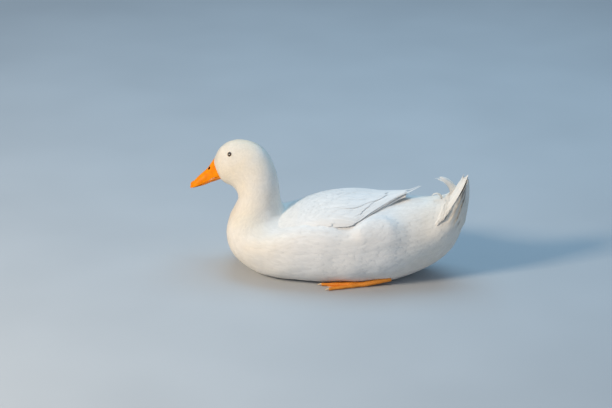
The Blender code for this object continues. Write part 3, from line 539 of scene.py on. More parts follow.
def ring_faces(index):
    """Triangles between the rows of a grid of point numbers whose columns close into rings."""
    a, d = index[:-1], index[1:]
    b, c = np.roll(a, -1, axis=1), np.roll(d, -1, axis=1)
    return np.concatenate([np.stack(three, -1).reshape(-1, 3) for three in ((a, b, c), (a, c, d))])


def vane_shape(stations, columns, root=0.45, blunt=3.0, middle=0.4):
    """A vane's outline as shares: stations along it, its half width at each, places across."""
    along = np.sin(np.linspace(0.0, 1.0, stations) * pi / 2) ** 0.85
    swell = root + (1 - root) * np.sin(np.minimum(along / middle, 1.0) * pi / 2)
    tip = np.maximum(1.0 - along ** blunt, 0.0) ** 0.5
    wide = np.maximum(swell * tip, 0.06)
    across = np.linspace(-1.0, 1.0, columns)
    return along, wide, across


SMALL = vane_shape(5, 3)
SOFT = vane_shape(7, 3, root=0.35, blunt=2.2, middle=0.45)
MEDIUM = vane_shape(8, 5, blunt=3.2)

# Each tract of the coat: name, first and last ring place, columns round the body, row
# distance over column distance, length over row distance, half width over column distance,
# height at the tip, fall towards the root for each metre of length, outline.
TRACTS = (
    ("coat_face", 0.15, 3.6, 112, 1.00, 2.6, 0.95, 0.0003, 0.10, SMALL),
    ("coat_crown", 3.4, 7.2, 112, 1.00, 2.8, 0.95, 0.0003, 0.09, SMALL),
    ("coat_neck", 6.9, 12.2, 96, 1.10, 3.0, 0.95, 0.0003, 0.070, SMALL),
    ("coat_breast", 11.8, 16.0, 88, 1.00, 3.2, 0.95, 0.0003, 0.045, SOFT),
    ("coat_body", 15.4, 20.8, 74, 1.10, 3.4, 1.00, 0.0003, 0.038, SOFT),
    ("coat_rump", 20.3, 24.95, 48, 1.30, 3.4, 1.05, 0.0003, 0.040, SOFT),
)


def shaft_shape(stations, root, blunt, middle):
    """The outline of a large feather, with three places across its raised shaft."""
    along, wide, _ = vane_shape(stations, 3, root, blunt, middle)
    return along, wide, np.array((-1.0, -0.55, -0.09, 0.0, 0.09, 0.55, 1.0))


def vane_triangles(stations, columns):
    """Triangles of one closed vane: a top sheet, a ridge below it, and both ends."""
    top = np.arange(stations * columns).reshape(stations, columns)
    below = stations * columns + np.arange(stations)
    faces = []
    for k in range(stations - 1):
        for c in range(columns - 1):
            a, b = top[k, c], top[k, c + 1]
            d, e = top[k + 1, c], top[k + 1, c + 1]
            faces += [(a, b, e), (a, e, d)]
        for edge, flip in ((0, False), (columns - 1, True)):
            a, d = top[k, edge], top[k + 1, edge]
            b, e = below[k], below[k + 1]
            pair = [(a, d, e), (a, e, b)]
            faces += [t[::-1] for t in pair] if flip else pair
    for k, flip in ((0, False), (stations - 1, True)):
        for c in range(columns - 1):
            face = (top[k, c], below[k], top[k, c + 1])
            faces.append(face[::-1] if flip else face)
    return np.array(faces)


def barbs_layer(u, v):
    """The texture layer in which one unit is 10 mm and the shaft lies at one half."""
    return np.stack((u * 100 + 0.5, v * 100), axis=-1)


def vane_spot(u, v, half, length):
    """A vane's own small spot in the baked layer, about its root's place."""
    return np.stack((u / half * 0.0015, (v / length - 0.5) * 0.003), axis=-1)


def vanes(patch, p, q, length, half, turn, low, high, shape, camber=0.10, thick=0.0004,
          lean=0.0, shaft=0.0, to=None, bow=0.0):
    """Closed vanes on a patch. They run from roots at p, q over a length in a turned direction,
    or, where tips are given, from p to the tip with their outer edge on the line from q. Low
    and high are the heights of root and tip; lean raises the outer edge."""
    along, wide, across = shape
    n = len(p)
    full = lambda value: np.broadcast_to(np.asarray(value, float), (n,))[:, None, None]
    reach = full(length) * along[None, :, None] + 0.0 * across
    aside = full(half) * wide[None, :, None] * across[None, None, :]
    if to is None:
        forth = reach * np.cos(full(turn)) - aside * np.sin(full(turn))
        over = reach * np.sin(full(turn)) + aside * np.cos(full(turn))
        pp = p[:, None, None] + forth / patch.read(patch.along, p, q)[:, :, None]
        qq = q[:, None, None] + over / patch.read(patch.around, p, q)[:, :, None]
    else:
        middle_p = p[:, None] + (to[0] - p)[:, None] * along
        middle_q = q[:, None] + (to[1] - q)[:, None] * along
        middle_q = middle_q + full(bow)[:, :, 0] * np.sin(along * pi)
        inward = full(half) * (0.4 + 0.6 * wide[None, :, None])
        pp = middle_p[:, :, None] + 0.0 * aside
        qq = middle_q[:, :, None] + (aside - inward) / patch.read(patch.around, middle_p, middle_q)
    grow = 1.0 - (1.0 - along[None, :, None]) ** (1.0 if to is None else 3.0)
    rise = full(low) + (full(high) - full(low)) * grow
    rise = rise + full(half) * camber * (1 - across[None, None, :] ** 2) * wide[None, :, None]
    rise = rise + full(lean) * aside
    rise = rise + shaft * (np.abs(across) < 0.01)[None, None, :] * (1 - 0.6 * along[None, :, None])
    top = patch.at(pp, qq, rise)
    mid = len(across) // 2
    below = top[:, :, mid] - patch.read(patch.out, pp[:, :, mid], qq[:, :, mid]) * (
        thick * (1 - 0.5 * along))[None, :, None]
    points = np.concatenate((top.reshape(n, -1, 3), below), axis=1)
    points[..., 2] = np.maximum(points[..., 2], FLOOR_GAP)
    single = vane_triangles(len(along), len(across))[:, ::patch.side]
    size = points.shape[1]
    triangles = (single[None] + (np.arange(n) * size)[:, None, None]).reshape(-1, 3)
    u = np.concatenate((aside.reshape(n, -1), np.zeros((n, len(along)))), axis=1)
    v = np.concatenate((reach.reshape(n, -1), reach[:, :, mid]), axis=1)
    place = np.stack(((q - patch.low[1]) / (patch.high[1] - patch.low[1]) % 1.0,
                      (p - patch.low[0]) / (patch.high[0] - patch.low[0])), axis=-1)
    place = 0.005 + 0.99 * place
    bake = place[:, None, :] + vane_spot(u, v, full(half)[:, :, 0], full(length)[:, :, 0])
    tone = np.repeat(rng.uniform(0.0, 1.0, n), size)
    uvs = {"OFBake": bake.reshape(-1, 2), "Barbs": barbs_layer(u, v).reshape(-1, 2)}
    return points.reshape(-1, 3), triangles, uvs, tone


def feather_piece(name, parts, material):
    """Several results of vanes as one piece."""
    points, triangles, layers, tones = zip(*parts)
    starts = np.cumsum([0] + [len(p) for p in points[:-1]])
    triangles = np.concatenate([t + start for t, start in zip(triangles, starts)])
    uvs = {layer: np.concatenate([uv[layer] for uv in layers]) for layer in ("OFBake", "Barbs")}
    piece = mesh_piece(name, np.concatenate(points), triangles, material, uvs, np.concatenate(tones))


def staggered(patch, p_range, q_range, columns, ratio, jitter=0.16, least=0.0012):
    """Root places in staggered rows: p, q and the distance to the next column at each."""
    line = np.linspace(*p_range, 240)
    step = (q_range[1] - q_range[0]) / columns
    ps, qs = [], []
    for column in range(columns):
        q = q_range[0] + (column + 0.5) * step
        aside = patch.read(patch.around, line, np.full_like(line, q))[:, 0] * step
        ahead = patch.read(patch.along, line, np.full_like(line, q))[:, 0]
        spacing = np.maximum(aside * ratio, least)
        phase = np.concatenate(((0.0,), np.cumsum((ahead / spacing)[:-1] * np.diff(line))))
        wanted = np.arange(0.5 * (column % 2), phase[-1], 1.0)
        wanted = wanted + rng.uniform(-jitter, jitter, len(wanted))
        ps.append(np.interp(wanted, phase, line))
        qs.append(q + rng.uniform(-jitter, jitter, len(wanted)) * step)
    p = np.concatenate(ps)
    q = np.concatenate(qs)
    return p, q, patch.read(patch.around, p, q)[:, 0] * step


def under_wing(points):
    """Which points of the body lie beneath the folded wings."""
    x, y, z = np.abs(points[:, 0]), points[:, 1], points[:, 2]
    wide, crest, level = by_first(WING_HULL, y).T
    angle = np.degrees(np.arctan2(x / wide, (z - level) / (crest - level)))
    edge = by_first(WING_EDGE, y)[:, 0]
    covered = (y > COVERED_START) & (y < COVERED_END) & (angle < edge - COVERED_MARGIN)
    return covered & (tuft_share(points) < 0.05)


def feather_lie(points, angles):
    """The turn of the coat's lie off the body's length, which swirls round the thigh tuft."""
    left = np.where(angles < pi, 1.0, -1.0)
    y, z, long, high, _ = TUFT
    along = (points[:, 1] - y) / long
    above = (points[:, 2] - z) / high
    near = np.exp(-(np.maximum(np.hypot(along, above) - 0.45, 0.0) / 0.5) ** 2)
    near = near * (np.abs(points[:, 0]) > LIE_CLEAR)
    return left * near * np.clip(along * 0.85 - 0.10, -0.8, 0.8)


def build_coat(body, material):
    for name, first, last, columns, ratio, reach, width, lift, fall, shape in TRACTS:
        p, q, gap = staggered(body, (first, last), (0.0, 2 * pi), columns, ratio)
        where = body.at(p, q)
        keep = ~under_wing(where)
        keep &= gap > LEAST_GAP
        p, q, gap, where = p[keep], q[keep], gap[keep], where[keep]
        n = len(p)
        length = np.minimum(gap * ratio * reach, LONGEST_COAT) * rng.uniform(0.88, 1.15, n)
        half = gap * width * rng.uniform(0.9, 1.1, n)
        tip = lift * rng.uniform(0.3, 1.6, n)
        turn = feather_lie(where, q) + rng.normal(0.0, 0.08, n)
        part = vanes(body, p, q, length, half, turn, tip - fall * length, tip, shape, thick=THIN)
        feather_piece(name, [part], material)


def build_skin(body, material):
    """One skin from the face to the tail root, inside the solids by the coat's depth."""
    rows, columns = SKIN_GRID
    pp, qq = np.meshgrid(np.linspace(0.0, LAST_RING, rows),
                         np.linspace(0.0, 2 * pi, columns, endpoint=False), indexing="ij")
    points = body.at(pp, qq, -np.interp(pp, COAT_PLACES, COAT_DEPTHS))
    points[..., 2] = np.maximum(points[..., 2], 0.0)
    index = np.arange(rows * columns).reshape(rows, columns)
    ends = np.array((points[0].mean(axis=0), points[-1].mean(axis=0)))
    flat = np.concatenate((points.reshape(-1, 3), ends))
    start, stop = rows * columns, rows * columns + 1
    face_cap = np.stack((np.full(columns, start), np.roll(index[0], -1), index[0]), -1)
    tail_cap = np.stack((np.full(columns, stop), index[-1], np.roll(index[-1], -1)), -1)
    faces = np.concatenate((ring_faces(index), face_cap, tail_cap))
    uv = np.stack((qq / (2 * pi), pp / LAST_RING), axis=-1).reshape(-1, 2) * 0.98 + 0.01
    uv = np.concatenate((uv, ((0.5, 0.004), (0.5, 0.996))))
    skin = mesh_piece("skin", flat, faces, material, {"OFBake": uv}, np.full(len(flat), 0.5))
    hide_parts("head", "neck", "torso", "tail")


class Look:
    """A material with one Principled shader, built node by node."""

    def __init__(self, name, colour, roughness):
        self.material = bpy.data.materials.new(name)
        self.material.use_nodes = True
        self.tree = self.material.node_tree
        self.shader = self.tree.nodes["Principled BSDF"]
        self.set({"Base Color": (*colour, 1.0), "Roughness": roughness})

    def fill(self, node, values):
        for key, value in values.items():
            if isinstance(value, bpy.types.NodeSocket):
                self.tree.links.new(value, node.inputs[key])
            else:
                node.inputs[key].default_value = value

    def set(self, values):
        self.fill(self.shader, values)

    def node(self, kind, inputs=None, **settings):
        """The outputs of a new node with these inputs."""
        made = self.tree.nodes.new("ShaderNode" + kind)
        for key, value in settings.items():
            setattr(made, key, value)
        self.fill(made, inputs or {})
        return made.outputs

    def where(self):
        return self.node("TexCoord")["Object"]

    def noise(self, scale, detail=2.0):
        return self.node("TexNoise", {"Vector": self.where(), "Scale": scale, "Detail": detail})["Fac"]

    def math(self, operation, *values):
        return self.node("Math", dict(enumerate(values)), operation=operation)[0]

    def remap(self, value, start, end, low=0.0, high=1.0):
        return self.node("MapRange", {"Value": value, "From Min": start, "From Max": end,
                                      "To Min": low, "To Max": high})["Result"]

    def mix(self, share, first, second):
        return self.node("Mix", {"Factor": share, "A": first, "B": second}, data_type="RGBA")["Result"]

    def ramp(self, factor, stops):
        node = self.tree.nodes.new("ShaderNodeValToRGB")
        self.tree.links.new(factor, node.inputs["Fac"])
        parts = node.color_ramp.elements
        for k, (place, colour) in enumerate(stops):
            part = parts[k] if k < 2 else parts.new(place)
            part.position = place
            part.color = (*colour, 1.0)
        return node.outputs["Color"]

    def bump(self, height, strength, distance, **settings):
        inputs = {"Height": height, "Strength": strength, "Distance": distance}
        self.set({"Normal": self.node("Bump", inputs, **settings)["Normal"]})


def plumage_material(name, barbs=True):
    """White feathers, creamier on head, neck and breast, with painted warm light over the rump and tail and
    fine barbs in their surface.
    """
    look = Look(name, WHITE, 0.75)
    look.set({"Sheen Weight": 0.25, "Sheen Roughness": 0.5, "Specular IOR Level": 0.25})
    length = look.node("SeparateXYZ", {"Vector": look.where()})["Y"]
    # The front's cream is the feathers' own; the rear's is painted warm light.
    ends = look.math("ADD", look.remap(length, *CREAM_FRONT), look.remap(length, *REAR_PAINTED_WARM_LIGHT))
    cream_with_painted_light = look.math("MULTIPLY", look.noise(18.0, 3.0), ends)
    tint = look.mix(cream_with_painted_light, (*WHITE, 1.0), (*CREAM, 1.0))
    bright = look.remap(look.node("Attribute", attribute_name="tone")["Fac"], 0.0, 1.0, 0.95, 1.03)
    shade = look.node("VectorMath", {0: tint, "Scale": bright}, operation="SCALE")
    look.set({"Base Color": shade["Vector"]})
    if barbs:
        split = look.node("SeparateXYZ", {"Vector": look.node("UVMap", uv_map="Barbs")["UV"]})
        side = look.math("ABSOLUTE", look.math("SUBTRACT", split["X"], 0.5))
        slant = look.math("MULTIPLY_ADD", side, -1.2, split["Y"])
        look.bump(look.math("SINE", look.math("MULTIPLY", slant, 110.0)), 0.22, 0.0003)
    return look.material


def wing_slab(side, patch, material):
    """The wing's solid underlay, closed, from just under its vanes down into the coat."""
    rows, columns = SLAB_GRID
    ys = np.linspace(*SLAB_LENGTH, rows)
    pp, qq = np.meshgrid(ys, np.linspace(0.0, SLAB_EDGE, columns), indexing="ij")
    rim = np.sin(qq / SLAB_EDGE * pi) ** 0.4
    thin = ease(*SLAB_THINS, pp)
    top = patch.at(pp, qq, SLAB_TOP + 0.0026 * rim - 0.0012 * thin)
    low = patch.at(pp, qq, SLAB_LOW + 0.0045 * thin)
    loop = np.concatenate((top, low[:, ::-1]), axis=1)
    count = 2 * columns
    index = np.arange(rows * count).reshape(rows, count)
    faces = [ring_faces(index)]
    for row, flip in ((0, True), (rows - 1, False)):
        for k in range(columns - 1):
            a, b, c, d = index[row, [k, k + 1, count - 2 - k, count - 1 - k]]
            pair = np.array(((a, b, c), (a, c, d)))
            faces.append(pair[:, ::-1] if flip else pair)
    faces = np.concatenate(faces)[:, ::side]
    vv, uu = np.meshgrid(np.linspace(0, 1, rows), np.arange(count) / (count - 1), indexing="ij")
    uv = np.stack((uu, vv), -1).reshape(-1, 2)
    name = "wing_base_left" if side > 0 else "wing_base_right"
    slab = mesh_piece(name, loop.reshape(-1, 3), faces, material, {"OFBake": uv * 0.98 + 0.01},
                      np.full(rows * count, 0.5))
    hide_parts("wing_left" if side > 0 else "wing_right")


def row_places(pair, share, wobble):
    """Places from a row's first feather to its last, each a little off."""
    return pair[0] + (pair[1] - pair[0]) * share + rng.uniform(-wobble, wobble, len(share))


def soft_coverts(patch, roots, reach, lengths, level, fall):
    """Small soft feathers at roots p, q, with their tips near a level over the patch."""
    p, q, gap = roots
    n = len(p)
    length = np.clip(gap * reach, *lengths) * rng.uniform(0.9, 1.1, n)
    tip = level + 0.0003 * rng.uniform(0.3, 1.6, n)
    turn = rng.normal(0.0, 0.06, n)
    return vanes(patch, p, q, length, gap, turn, tip - fall * length, tip, SOFT, thick=THIN)


def wing_feathers(side, patch, material):
    """All the feathers of one folded wing, lowest tier first."""
    parts = []
    for count, root_y, root_q, tip_y, tip_q, half, low, high, lean, blunt in WING_ROWS:
        share = np.linspace(0.0, 1.0, count)
        p, q = row_places(root_y, share, 0.002), row_places(root_q, share, 0.006)
        to = (row_places(tip_y, share, 0.0018), row_places(tip_q, share, 0.006))
        shape = shaft_shape(16, root=0.55, blunt=blunt, middle=0.45)
        tuck = lean - EDGE_TUCK * ease(0.80, 1.0, to[1]) * (to[0] < TUCK_END)
        halves = half * rng.uniform(0.94, 1.06, count)
        tips = high + rng.uniform(-0.0001, 0.0002, count)
        parts.append(vanes(patch, p, q, to[0] - p, halves, 0.0, low, tips, shape, camber=0.035,
                           lean=tuck, shaft=0.00015, to=to, bow=rng.normal(0.0, 0.004, count)))
    start, end = SMALL_COVERTS_END
    p, q, gap = staggered(patch, (SMALL_START, end), (0.0, 1.0), 22, 1.0, 0.14, 0.003)
    keep = p < start + (end - start) * (1 - q)
    p, q, gap = p[keep], q[keep], gap[keep]
    settle = 0.0006 * ease(-0.060, -0.010, p) + 0.0012 * ease(-0.080, -0.108, p)
    settle = settle + 0.0014 * ease(0.82, 1.0, q)
    parts.append(soft_coverts(patch, (p, q, gap), 3.2, (0.008, 0.020), -settle, 0.07))
    feather_piece("feathers_wing_left" if side > 0 else "feathers_wing_right", parts, material)


def build_mantle(material):
    """Small feathers over the middle of the back, which tuck in between the wings."""
    patch = mantle_patch()
    p, q, gap = staggered(patch, (SMALL_START, 0.130), (-0.60, 0.60), 13, 1.2, 0.15, 0.003)
    edge = by_first(WING_EDGE, np.minimum(p + 0.016, WING_END))[:, 0]
    keep = np.abs(q) * MANTLE_HALF < edge - 4.0
    p, q, gap = p[keep], q[keep], gap[keep]
    sink = 0.0004 - 0.0012 * ease(-0.010, 0.045, p) - 0.0028 * ease(0.045, 0.095, p)
    sink = sink - 0.0026 * ease(0.095, 0.130, p)
    part = soft_coverts(patch, (p, q, gap), 3.4, (0.010, 0.022), sink - 0.0012 * np.abs(q), 0.06)
    feather_piece("coat_mantle", [part], material)


def line_vane(path, out, half, shape, camber, spread):
    """One closed vane along a middle line in space, with the way its upper face looks. Its
    place in the baked layer is spread over the length given."""
    along, wide, across = shape
    share = np.linspace(0.0, 1.0, len(path))
    middle = np.stack([np.interp(along, share, path[:, k]) for k in range(3)], axis=-1)
    up = units(np.stack([np.interp(along, share, out[:, k]) for k in range(3)], axis=-1))
    ahead = units(np.gradient(middle, axis=0))
    right = units(np.cross(ahead, up))
    up = units(np.cross(right, ahead))
    wide = (half * wide)[:, None, None]
    rise = wide * camber * (1 - across[None, :, None] ** 2)
    rise = rise + TAIL_SHAFT * (np.abs(across) < 0.01)[None, :, None]
    top = middle[:, None] + right[:, None] * wide * across[None, :, None] + up[:, None] * rise
    below = top[:, len(across) // 2] - up * TAIL_THICK
    points = np.concatenate((top.reshape(-1, 3), below))
    triangles = vane_triangles(len(along), len(across))[:, ::-1]
    length = np.linalg.norm(np.diff(path, axis=0), axis=1).sum()
    u = np.concatenate(((wide[..., 0] * across).ravel(), np.zeros(len(along))))
    v = np.concatenate((np.repeat(along, len(across)), along)) * length
    place = np.array((0.5 + path[0, 0] * 6.0, 0.12 + (path[0, 2] - 0.02) * 4.5))
    return points, triangles, {"OFBake": place + vane_spot(u, v, half, spread), "Barbs": barbs_layer(u, v)}


def fan_patch():
    """The cocked tail's surface from root to tip, and from -1 on the right to 1 on the left."""
    rows, columns = FAN_GRID
    steps = np.linspace(0.0, FAN_END, rows)[:, None, None]
    shares = np.linspace(-FAN_EDGE, FAN_EDGE, columns)
    bend = shares * FAN_BEND
    side = shares ** 2
    top = FAN_TOP + 0.0115 * shares - 0.0025 * side
    root = np.stack((FAN_HALVES[0] * np.sin(bend), FAN_YS[0] - 0.0140 * side,
                     FAN_ARC[0] + FAN_ARC[1] * np.cos(bend)), axis=-1)
    control = np.stack((FAN_HALVES[1] * shares, FAN_YS[1] + 0.0080 * side,
                        FAN_MIDDLE + 0.5 * (top - FAN_TOP) - 0.0165 * side), axis=-1)
    tip_y = FAN_YS[2] + 0.0075 * np.abs(shares) ** 1.5 + 0.0025 * shares
    tip = np.stack((FAN_HALVES[2] * shares, tip_y, top), axis=-1)
    points = (1 - steps) ** 2 * root + 2 * steps * (1 - steps) * control + steps ** 2 * tip
    return Patch(points, (0.0, -FAN_EDGE), (FAN_END, FAN_EDGE))


def rectrices(fan, side):
    """The tail feathers of one side, from the middle one on top to the outermost below."""
    edge = np.linspace(1.0 / TAIL_PAIRS, 1.0, TAIL_PAIRS)
    reach = 0.965 + 0.035 * np.cos((1.0 - edge) * 2.2 * pi) + rng.normal(0.0, 0.006, TAIL_PAIRS)
    height = 0.0005 + 0.0012 * (1.0 - edge) + 0.0002 * (side > 0)
    tip = side * (edge + rng.normal(0.0, 0.012, TAIL_PAIRS))
    shape = shaft_shape(18, root=0.35, blunt=1.5, middle=0.5)
    points, triangles, uvs, tone = vanes(
        fan, np.full(TAIL_PAIRS, TAIL_ROOT), side * edge, TAIL_LENGTH, side * TAIL_HALF, 0.0,
        height - 0.0016, height, shape, camber=0.08 * side, thick=TAIL_THICK,
        lean=0.05 * side, shaft=TAIL_SHAFT, to=(reach, tip))
    return points, triangles[:, ::side], uvs, tone


def tail_coverts(fan):
    """Soft coverts over the roots of the tail feathers, row over row."""
    p, q, gap = staggered(fan, (0.0, 0.34), (-1.04, 1.04), 20, 1.1, 0.16, 0.003)
    n = len(p)
    length = 0.021 * rng.uniform(0.85, 1.1, n)
    level = 0.0022 - 0.0008 * np.abs(q) - 0.0016 * ease(0.10, 0.34, p)
    tip = level + 0.0003 * rng.uniform(0.0, 1.0, n)
    half = np.maximum(gap, 0.0042)
    return vanes(fan, p, q, length, half, rng.normal(0.0, 0.06, n), tip - 0.14 * length, tip, SOFT)


def undertail(body, fan):
    """Long soft coverts that fill the fan from beneath, from the stern towards the tail's tip."""
    parts = []
    one = lambda method, *values: method(*(np.array((value,)) for value in values))[0]
    for place, count, spread, reach in COVERT_ROWS:
        for k in range(count):
            swing = (2.0 * k / (count - 1) - 1.0) * spread + rng.normal(0.0, 0.03)
            q = pi - swing
            share = 0.90 * swing / spread
            t = reach + rng.normal(0.0, 0.015)
            ahead = STERN_PLACE - place
            deep = 0.0010 + 0.0024 * (1.0 - abs(share))
            tip = one(fan.at, t, share, -deep)
            leave = one(body.at, STERN_PLACE, q, 0.0020)
            rows = [one(body.at, place + step * ahead, q, lift) for step, lift in COVERT_STEPS]
            path = spline(np.array(rows + [leave + (tip - leave) * 0.5, tip]), np.linspace(0.0, 4.0, 16))
            turn = np.linspace(0.0, 1.0, 16)[:, None]
            out = one(body.facing, place, q) * (1 - turn) - one(fan.facing, t, share) * turn
            points, triangles, uvs = line_vane(path, out, COVERT_HALF, MEDIUM, 0.2, 0.08)
            parts.append((points, triangles, uvs, np.full(len(points), rng.uniform())))
    return parts


def curl_vanes():
    """The drake's curled feathers over the tail's root, one by one."""
    parts = []
    count = 28
    for mid_y, mid_z, radius, first, last, half, x, lean in CURLS:
        angles = np.radians(np.linspace(first, last, count))
        roll = np.linspace(0.0, 1.0, count)[:, None]
        path = np.stack((x + 0.003 * roll[:, 0] ** 2, mid_y + radius * np.cos(angles),
                         mid_z + radius * np.sin(angles)), axis=1)
        radial = np.stack((np.zeros(count), np.cos(angles), np.sin(angles)), axis=1)
        turn = radians(lean) * (1.0 - 0.45 * roll)
        out = radial * np.cos(turn) + np.array((1.0, 0.0, 0.0)) * np.sin(turn)
        shape = shaft_shape(24, root=0.85, blunt=1.5, middle=0.30)
        points, triangles, uvs = line_vane(path, out, half, shape, 0.25, 0.06)
        parts.append((points, triangles, uvs, np.full(len(points), 0.7)))
    return parts


def build_tail(body, material):
    """Tail feathers in a cocked fan, coverts over and under it, and the drake's curls."""
    fan = fan_patch()
    parts = [rectrices(fan, 1), rectrices(fan, -1), tail_coverts(fan)] + undertail(body, fan) + curl_vanes()
    feather_piece("feathers_tail", parts, material)


def loft_piece(name, rings, material):
    """A closed body through rings of equal count, as an object without a body yet."""
    mesh = bpy.data.meshes.new(name)
    count = len(rings[0])
    faces = [tuple(range(count))[::-1]]
    for row in range(len(rings) - 1):
        for k in range(count):
            a = row * count + k
            b = row * count + (k + 1) % count
            faces.append((a, b, b + count, a + count))
    last = (len(rings) - 1) * count
    faces.append(tuple(range(last, last + count)))
    mesh.from_pydata([tuple(p) for p in np.concatenate(rings)], [], faces)
    work = bmesh.new()
    work.from_mesh(mesh)
    bmesh.ops.recalc_face_normals(work, faces=work.faces)
    work.to_mesh(mesh)
    work.free()
    mesh.materials.append(material)
    return placed(name, mesh)


def ball(name, centre, radii, turn, material, segments=32, rings=20):
    mesh = bpy.data.meshes.new(name)
    work = bmesh.new()
    bmesh.ops.create_uvsphere(work, u_segments=segments, v_segments=rings, radius=1.0)
    place = Matrix.Translation(Vector(centre)) @ turn @ Matrix.Diagonal((*radii, 1.0))
    bmesh.ops.transform(work, matrix=place, verts=work.verts)
    work.to_mesh(mesh)
    work.free()
    mesh.materials.append(material)
    return placed(name, mesh)


def boolean(piece, other, operation):
    """Joins or cuts piece with another body, which is then removed."""
    change = piece.modifiers.new(operation, "BOOLEAN")
    change.operation = operation
    change.solver = "EXACT"
    change.object = other
    shape = piece.evaluated_get(bpy.context.evaluated_depsgraph_get())
    mesh = bpy.data.meshes.new_from_object(shape)
    piece.modifiers.clear()
    piece.data = mesh
    bpy.data.objects.remove(other, do_unlink=True)


def hard_smooth(piece):
    piece.data.shade_smooth()
    piece.data.set_sharp_from_angle(angle=HARD_SHARP)


def bill_material():
    look = Look("bill_horn", (0.90, 0.30, 0.004), 0.42)
    look.set({"Specular IOR Level": 0.10, "Subsurface Weight": 0.05,
              "Subsurface Radius": (0.003, 0.001, 0.0003)})
    colour = look.ramp(look.noise(90.0, 4.0), ((0.3, (0.80, 0.20, 0.001)), (0.7, (0.90, 0.29, 0.002))))
    near = []
    for side in (1, -1):
        inputs = {0: look.where(), 1: tuple(head_point(*NOSTRIL, side * NOSTRIL_SIDE))}
        near.append(look.node("VectorMath", inputs, operation="DISTANCE")["Value"])
    # Painted shade: the nostril holes and their rims are darkened in the bill's colour.
    dark = look.remap(look.math("MINIMUM", *near), NOSTRIL_SIZE[1] * 1.05, NOSTRIL_SIZE[1] * 0.75)
    look.set({"Base Color": look.mix(dark, colour, (*NOSTRIL_PAINTED_SHADE, 1.0))})
    look.bump(look.noise(700.0, 3.0), 0.2, 0.0004)
    return look.material


def bill_section(back, x, up):
    """Points of the bill at one distance back from its tip, after the head's turn."""
    return turned(np.stack((x, np.full_like(x, back), up), axis=1) + BILL_TIP)


def upper_ring(back, top, low, wide):
    """A section of the upper bill: an arch over a flat underside."""
    arch = np.linspace(-pi / 2, pi / 2, 41)
    x = np.concatenate((wide * np.sin(arch), wide * np.linspace(0.9, -0.9, 9)))
    up = low + (top - low) * np.abs(np.cos(arch)) ** 0.80
    return bill_section(back, x, np.concatenate((up, np.full(9, low + 0.0004))))


def lower_ring(back, low, wide):
    """A section of the lower bill: a shallow bowl under a flat top."""
    top = by_first(UPPER_BILL, back)[0][1] - MOUTH_GAP
    across = np.linspace(-1.0, 1.0, 25)
    bowl = low + (top - low) * np.abs(across) ** 2.4 * 0.72
    x = np.concatenate((across * wide, wide * np.linspace(0.97, -0.97, 9)))
    return bill_section(back, x, np.concatenate((bowl, np.full(9, top))))


def build_bill():
    horn = bill_material()
    rows = spline(UPPER_BILL, np.linspace(0, len(UPPER_BILL) - 1, 61))
    upper = loft_piece("upper_bill", [upper_ring(*row) for row in rows], horn)
    slope = lambda angle: head_turn() @ Matrix.Rotation(angle, 4, "X")
    boolean(upper, ball("nail", head_point(*NAIL), NAIL_SIZE, slope(NAIL_SLOPE), horn), "UNION")
    for side in (1, -1):
        place = head_point(*NOSTRIL, side * NOSTRIL_SIDE)
        boolean(upper, ball("nostril", place, NOSTRIL_SIZE, slope(NOSTRIL_SLOPE), horn), "DIFFERENCE")
    rows = spline(LOWER_BILL, np.linspace(0, len(LOWER_BILL) - 1, 45))
    lower = loft_piece("lower_bill", [lower_ring(*row) for row in rows], horn)
    for piece, node in ((upper, "bill_upper"), (lower, "bill_lower")):
        hard_smooth(piece)
        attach(piece, "root")
        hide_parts(node)


def eye_frames(body):
    """For each eye: its side, its centre and the way it looks."""
    places, angles = np.meshgrid(np.linspace(2.0, 5.0, 120), np.radians(np.linspace(20.0, 120.0, 160)),
                                 indexing="ij")
    points = body_points(places[:, 0], angles[0])
    axis = np.array(head_turn().to_3x3() @ Vector((1.0, 0.0, 0.0)))
    off = points - head_point(*EYE_PLACE)
    off = off - (off @ axis)[..., None] * axis
    row, column = np.unravel_index(np.argmin(np.linalg.norm(off, axis=-1)), places.shape)
    frames = []
    for side in (1, -1):
        p = np.array((places[row, column],))
        q = np.array((angles[row, column] * side,)) % (2 * pi)
        here = body_points(p, q)[0, 0]
        out = body.facing(p, q)[0]
        frames.append((side, here + out * (EYE_PROUD - EYE_RADIUS), out))
    return frames


def eye_material():
    """A black pupil in a dark brown iris, by the distance from the way the eye looks."""
    look = Look("eye_wet", (0.03, 0.015, 0.008), 0.03)
    look.set({"Coat Weight": 1.0, "Coat Roughness": 0.02})
    split = look.node("SeparateXYZ", {"Vector": look.where()})
    flat = look.node("CombineXYZ", {"X": split["X"], "Y": split["Y"]})["Vector"]
    far = look.node("VectorMath", {0: flat}, operation="LENGTH")["Value"]
    share = look.math("DIVIDE", far, EYE_RADIUS)
    colour = look.ramp(share, ((0.36, (0.002, 0.002, 0.002)), (0.42, (0.07, 0.028, 0.010)),
                               (0.72, (0.045, 0.018, 0.008)), (0.80, (0.01, 0.006, 0.004))))
    look.set({"Base Color": colour})
    return look.material


def build_lid(name, place, material):
    """The rim of skin round an eye, a slightly flattened ring on the eyeball."""
    rings = []
    for a in np.linspace(0.0, 2 * pi, LID_STEPS, endpoint=False):
        squeeze = LID_RADIUS * (1.0 - LID_FLAT * abs(sin(a)) ** 1.5)
        level = (EYE_RADIUS ** 2 - squeeze ** 2) ** 0.5
        for b in np.linspace(0, 2 * pi, LID_SIDES, endpoint=False):
            aside = squeeze + LID_WIDE * cos(b)
            rings.append(place @ Vector((aside * cos(a), aside * sin(a), level + LID_HIGH * sin(b))))
    index = np.arange(LID_STEPS * LID_SIDES).reshape(LID_STEPS, LID_SIDES)
    faces = ring_faces(np.concatenate((index, index[:1])))[:, ::-1]
    lid = mesh_piece(name, np.array([point[:] for point in rings]), faces, material)


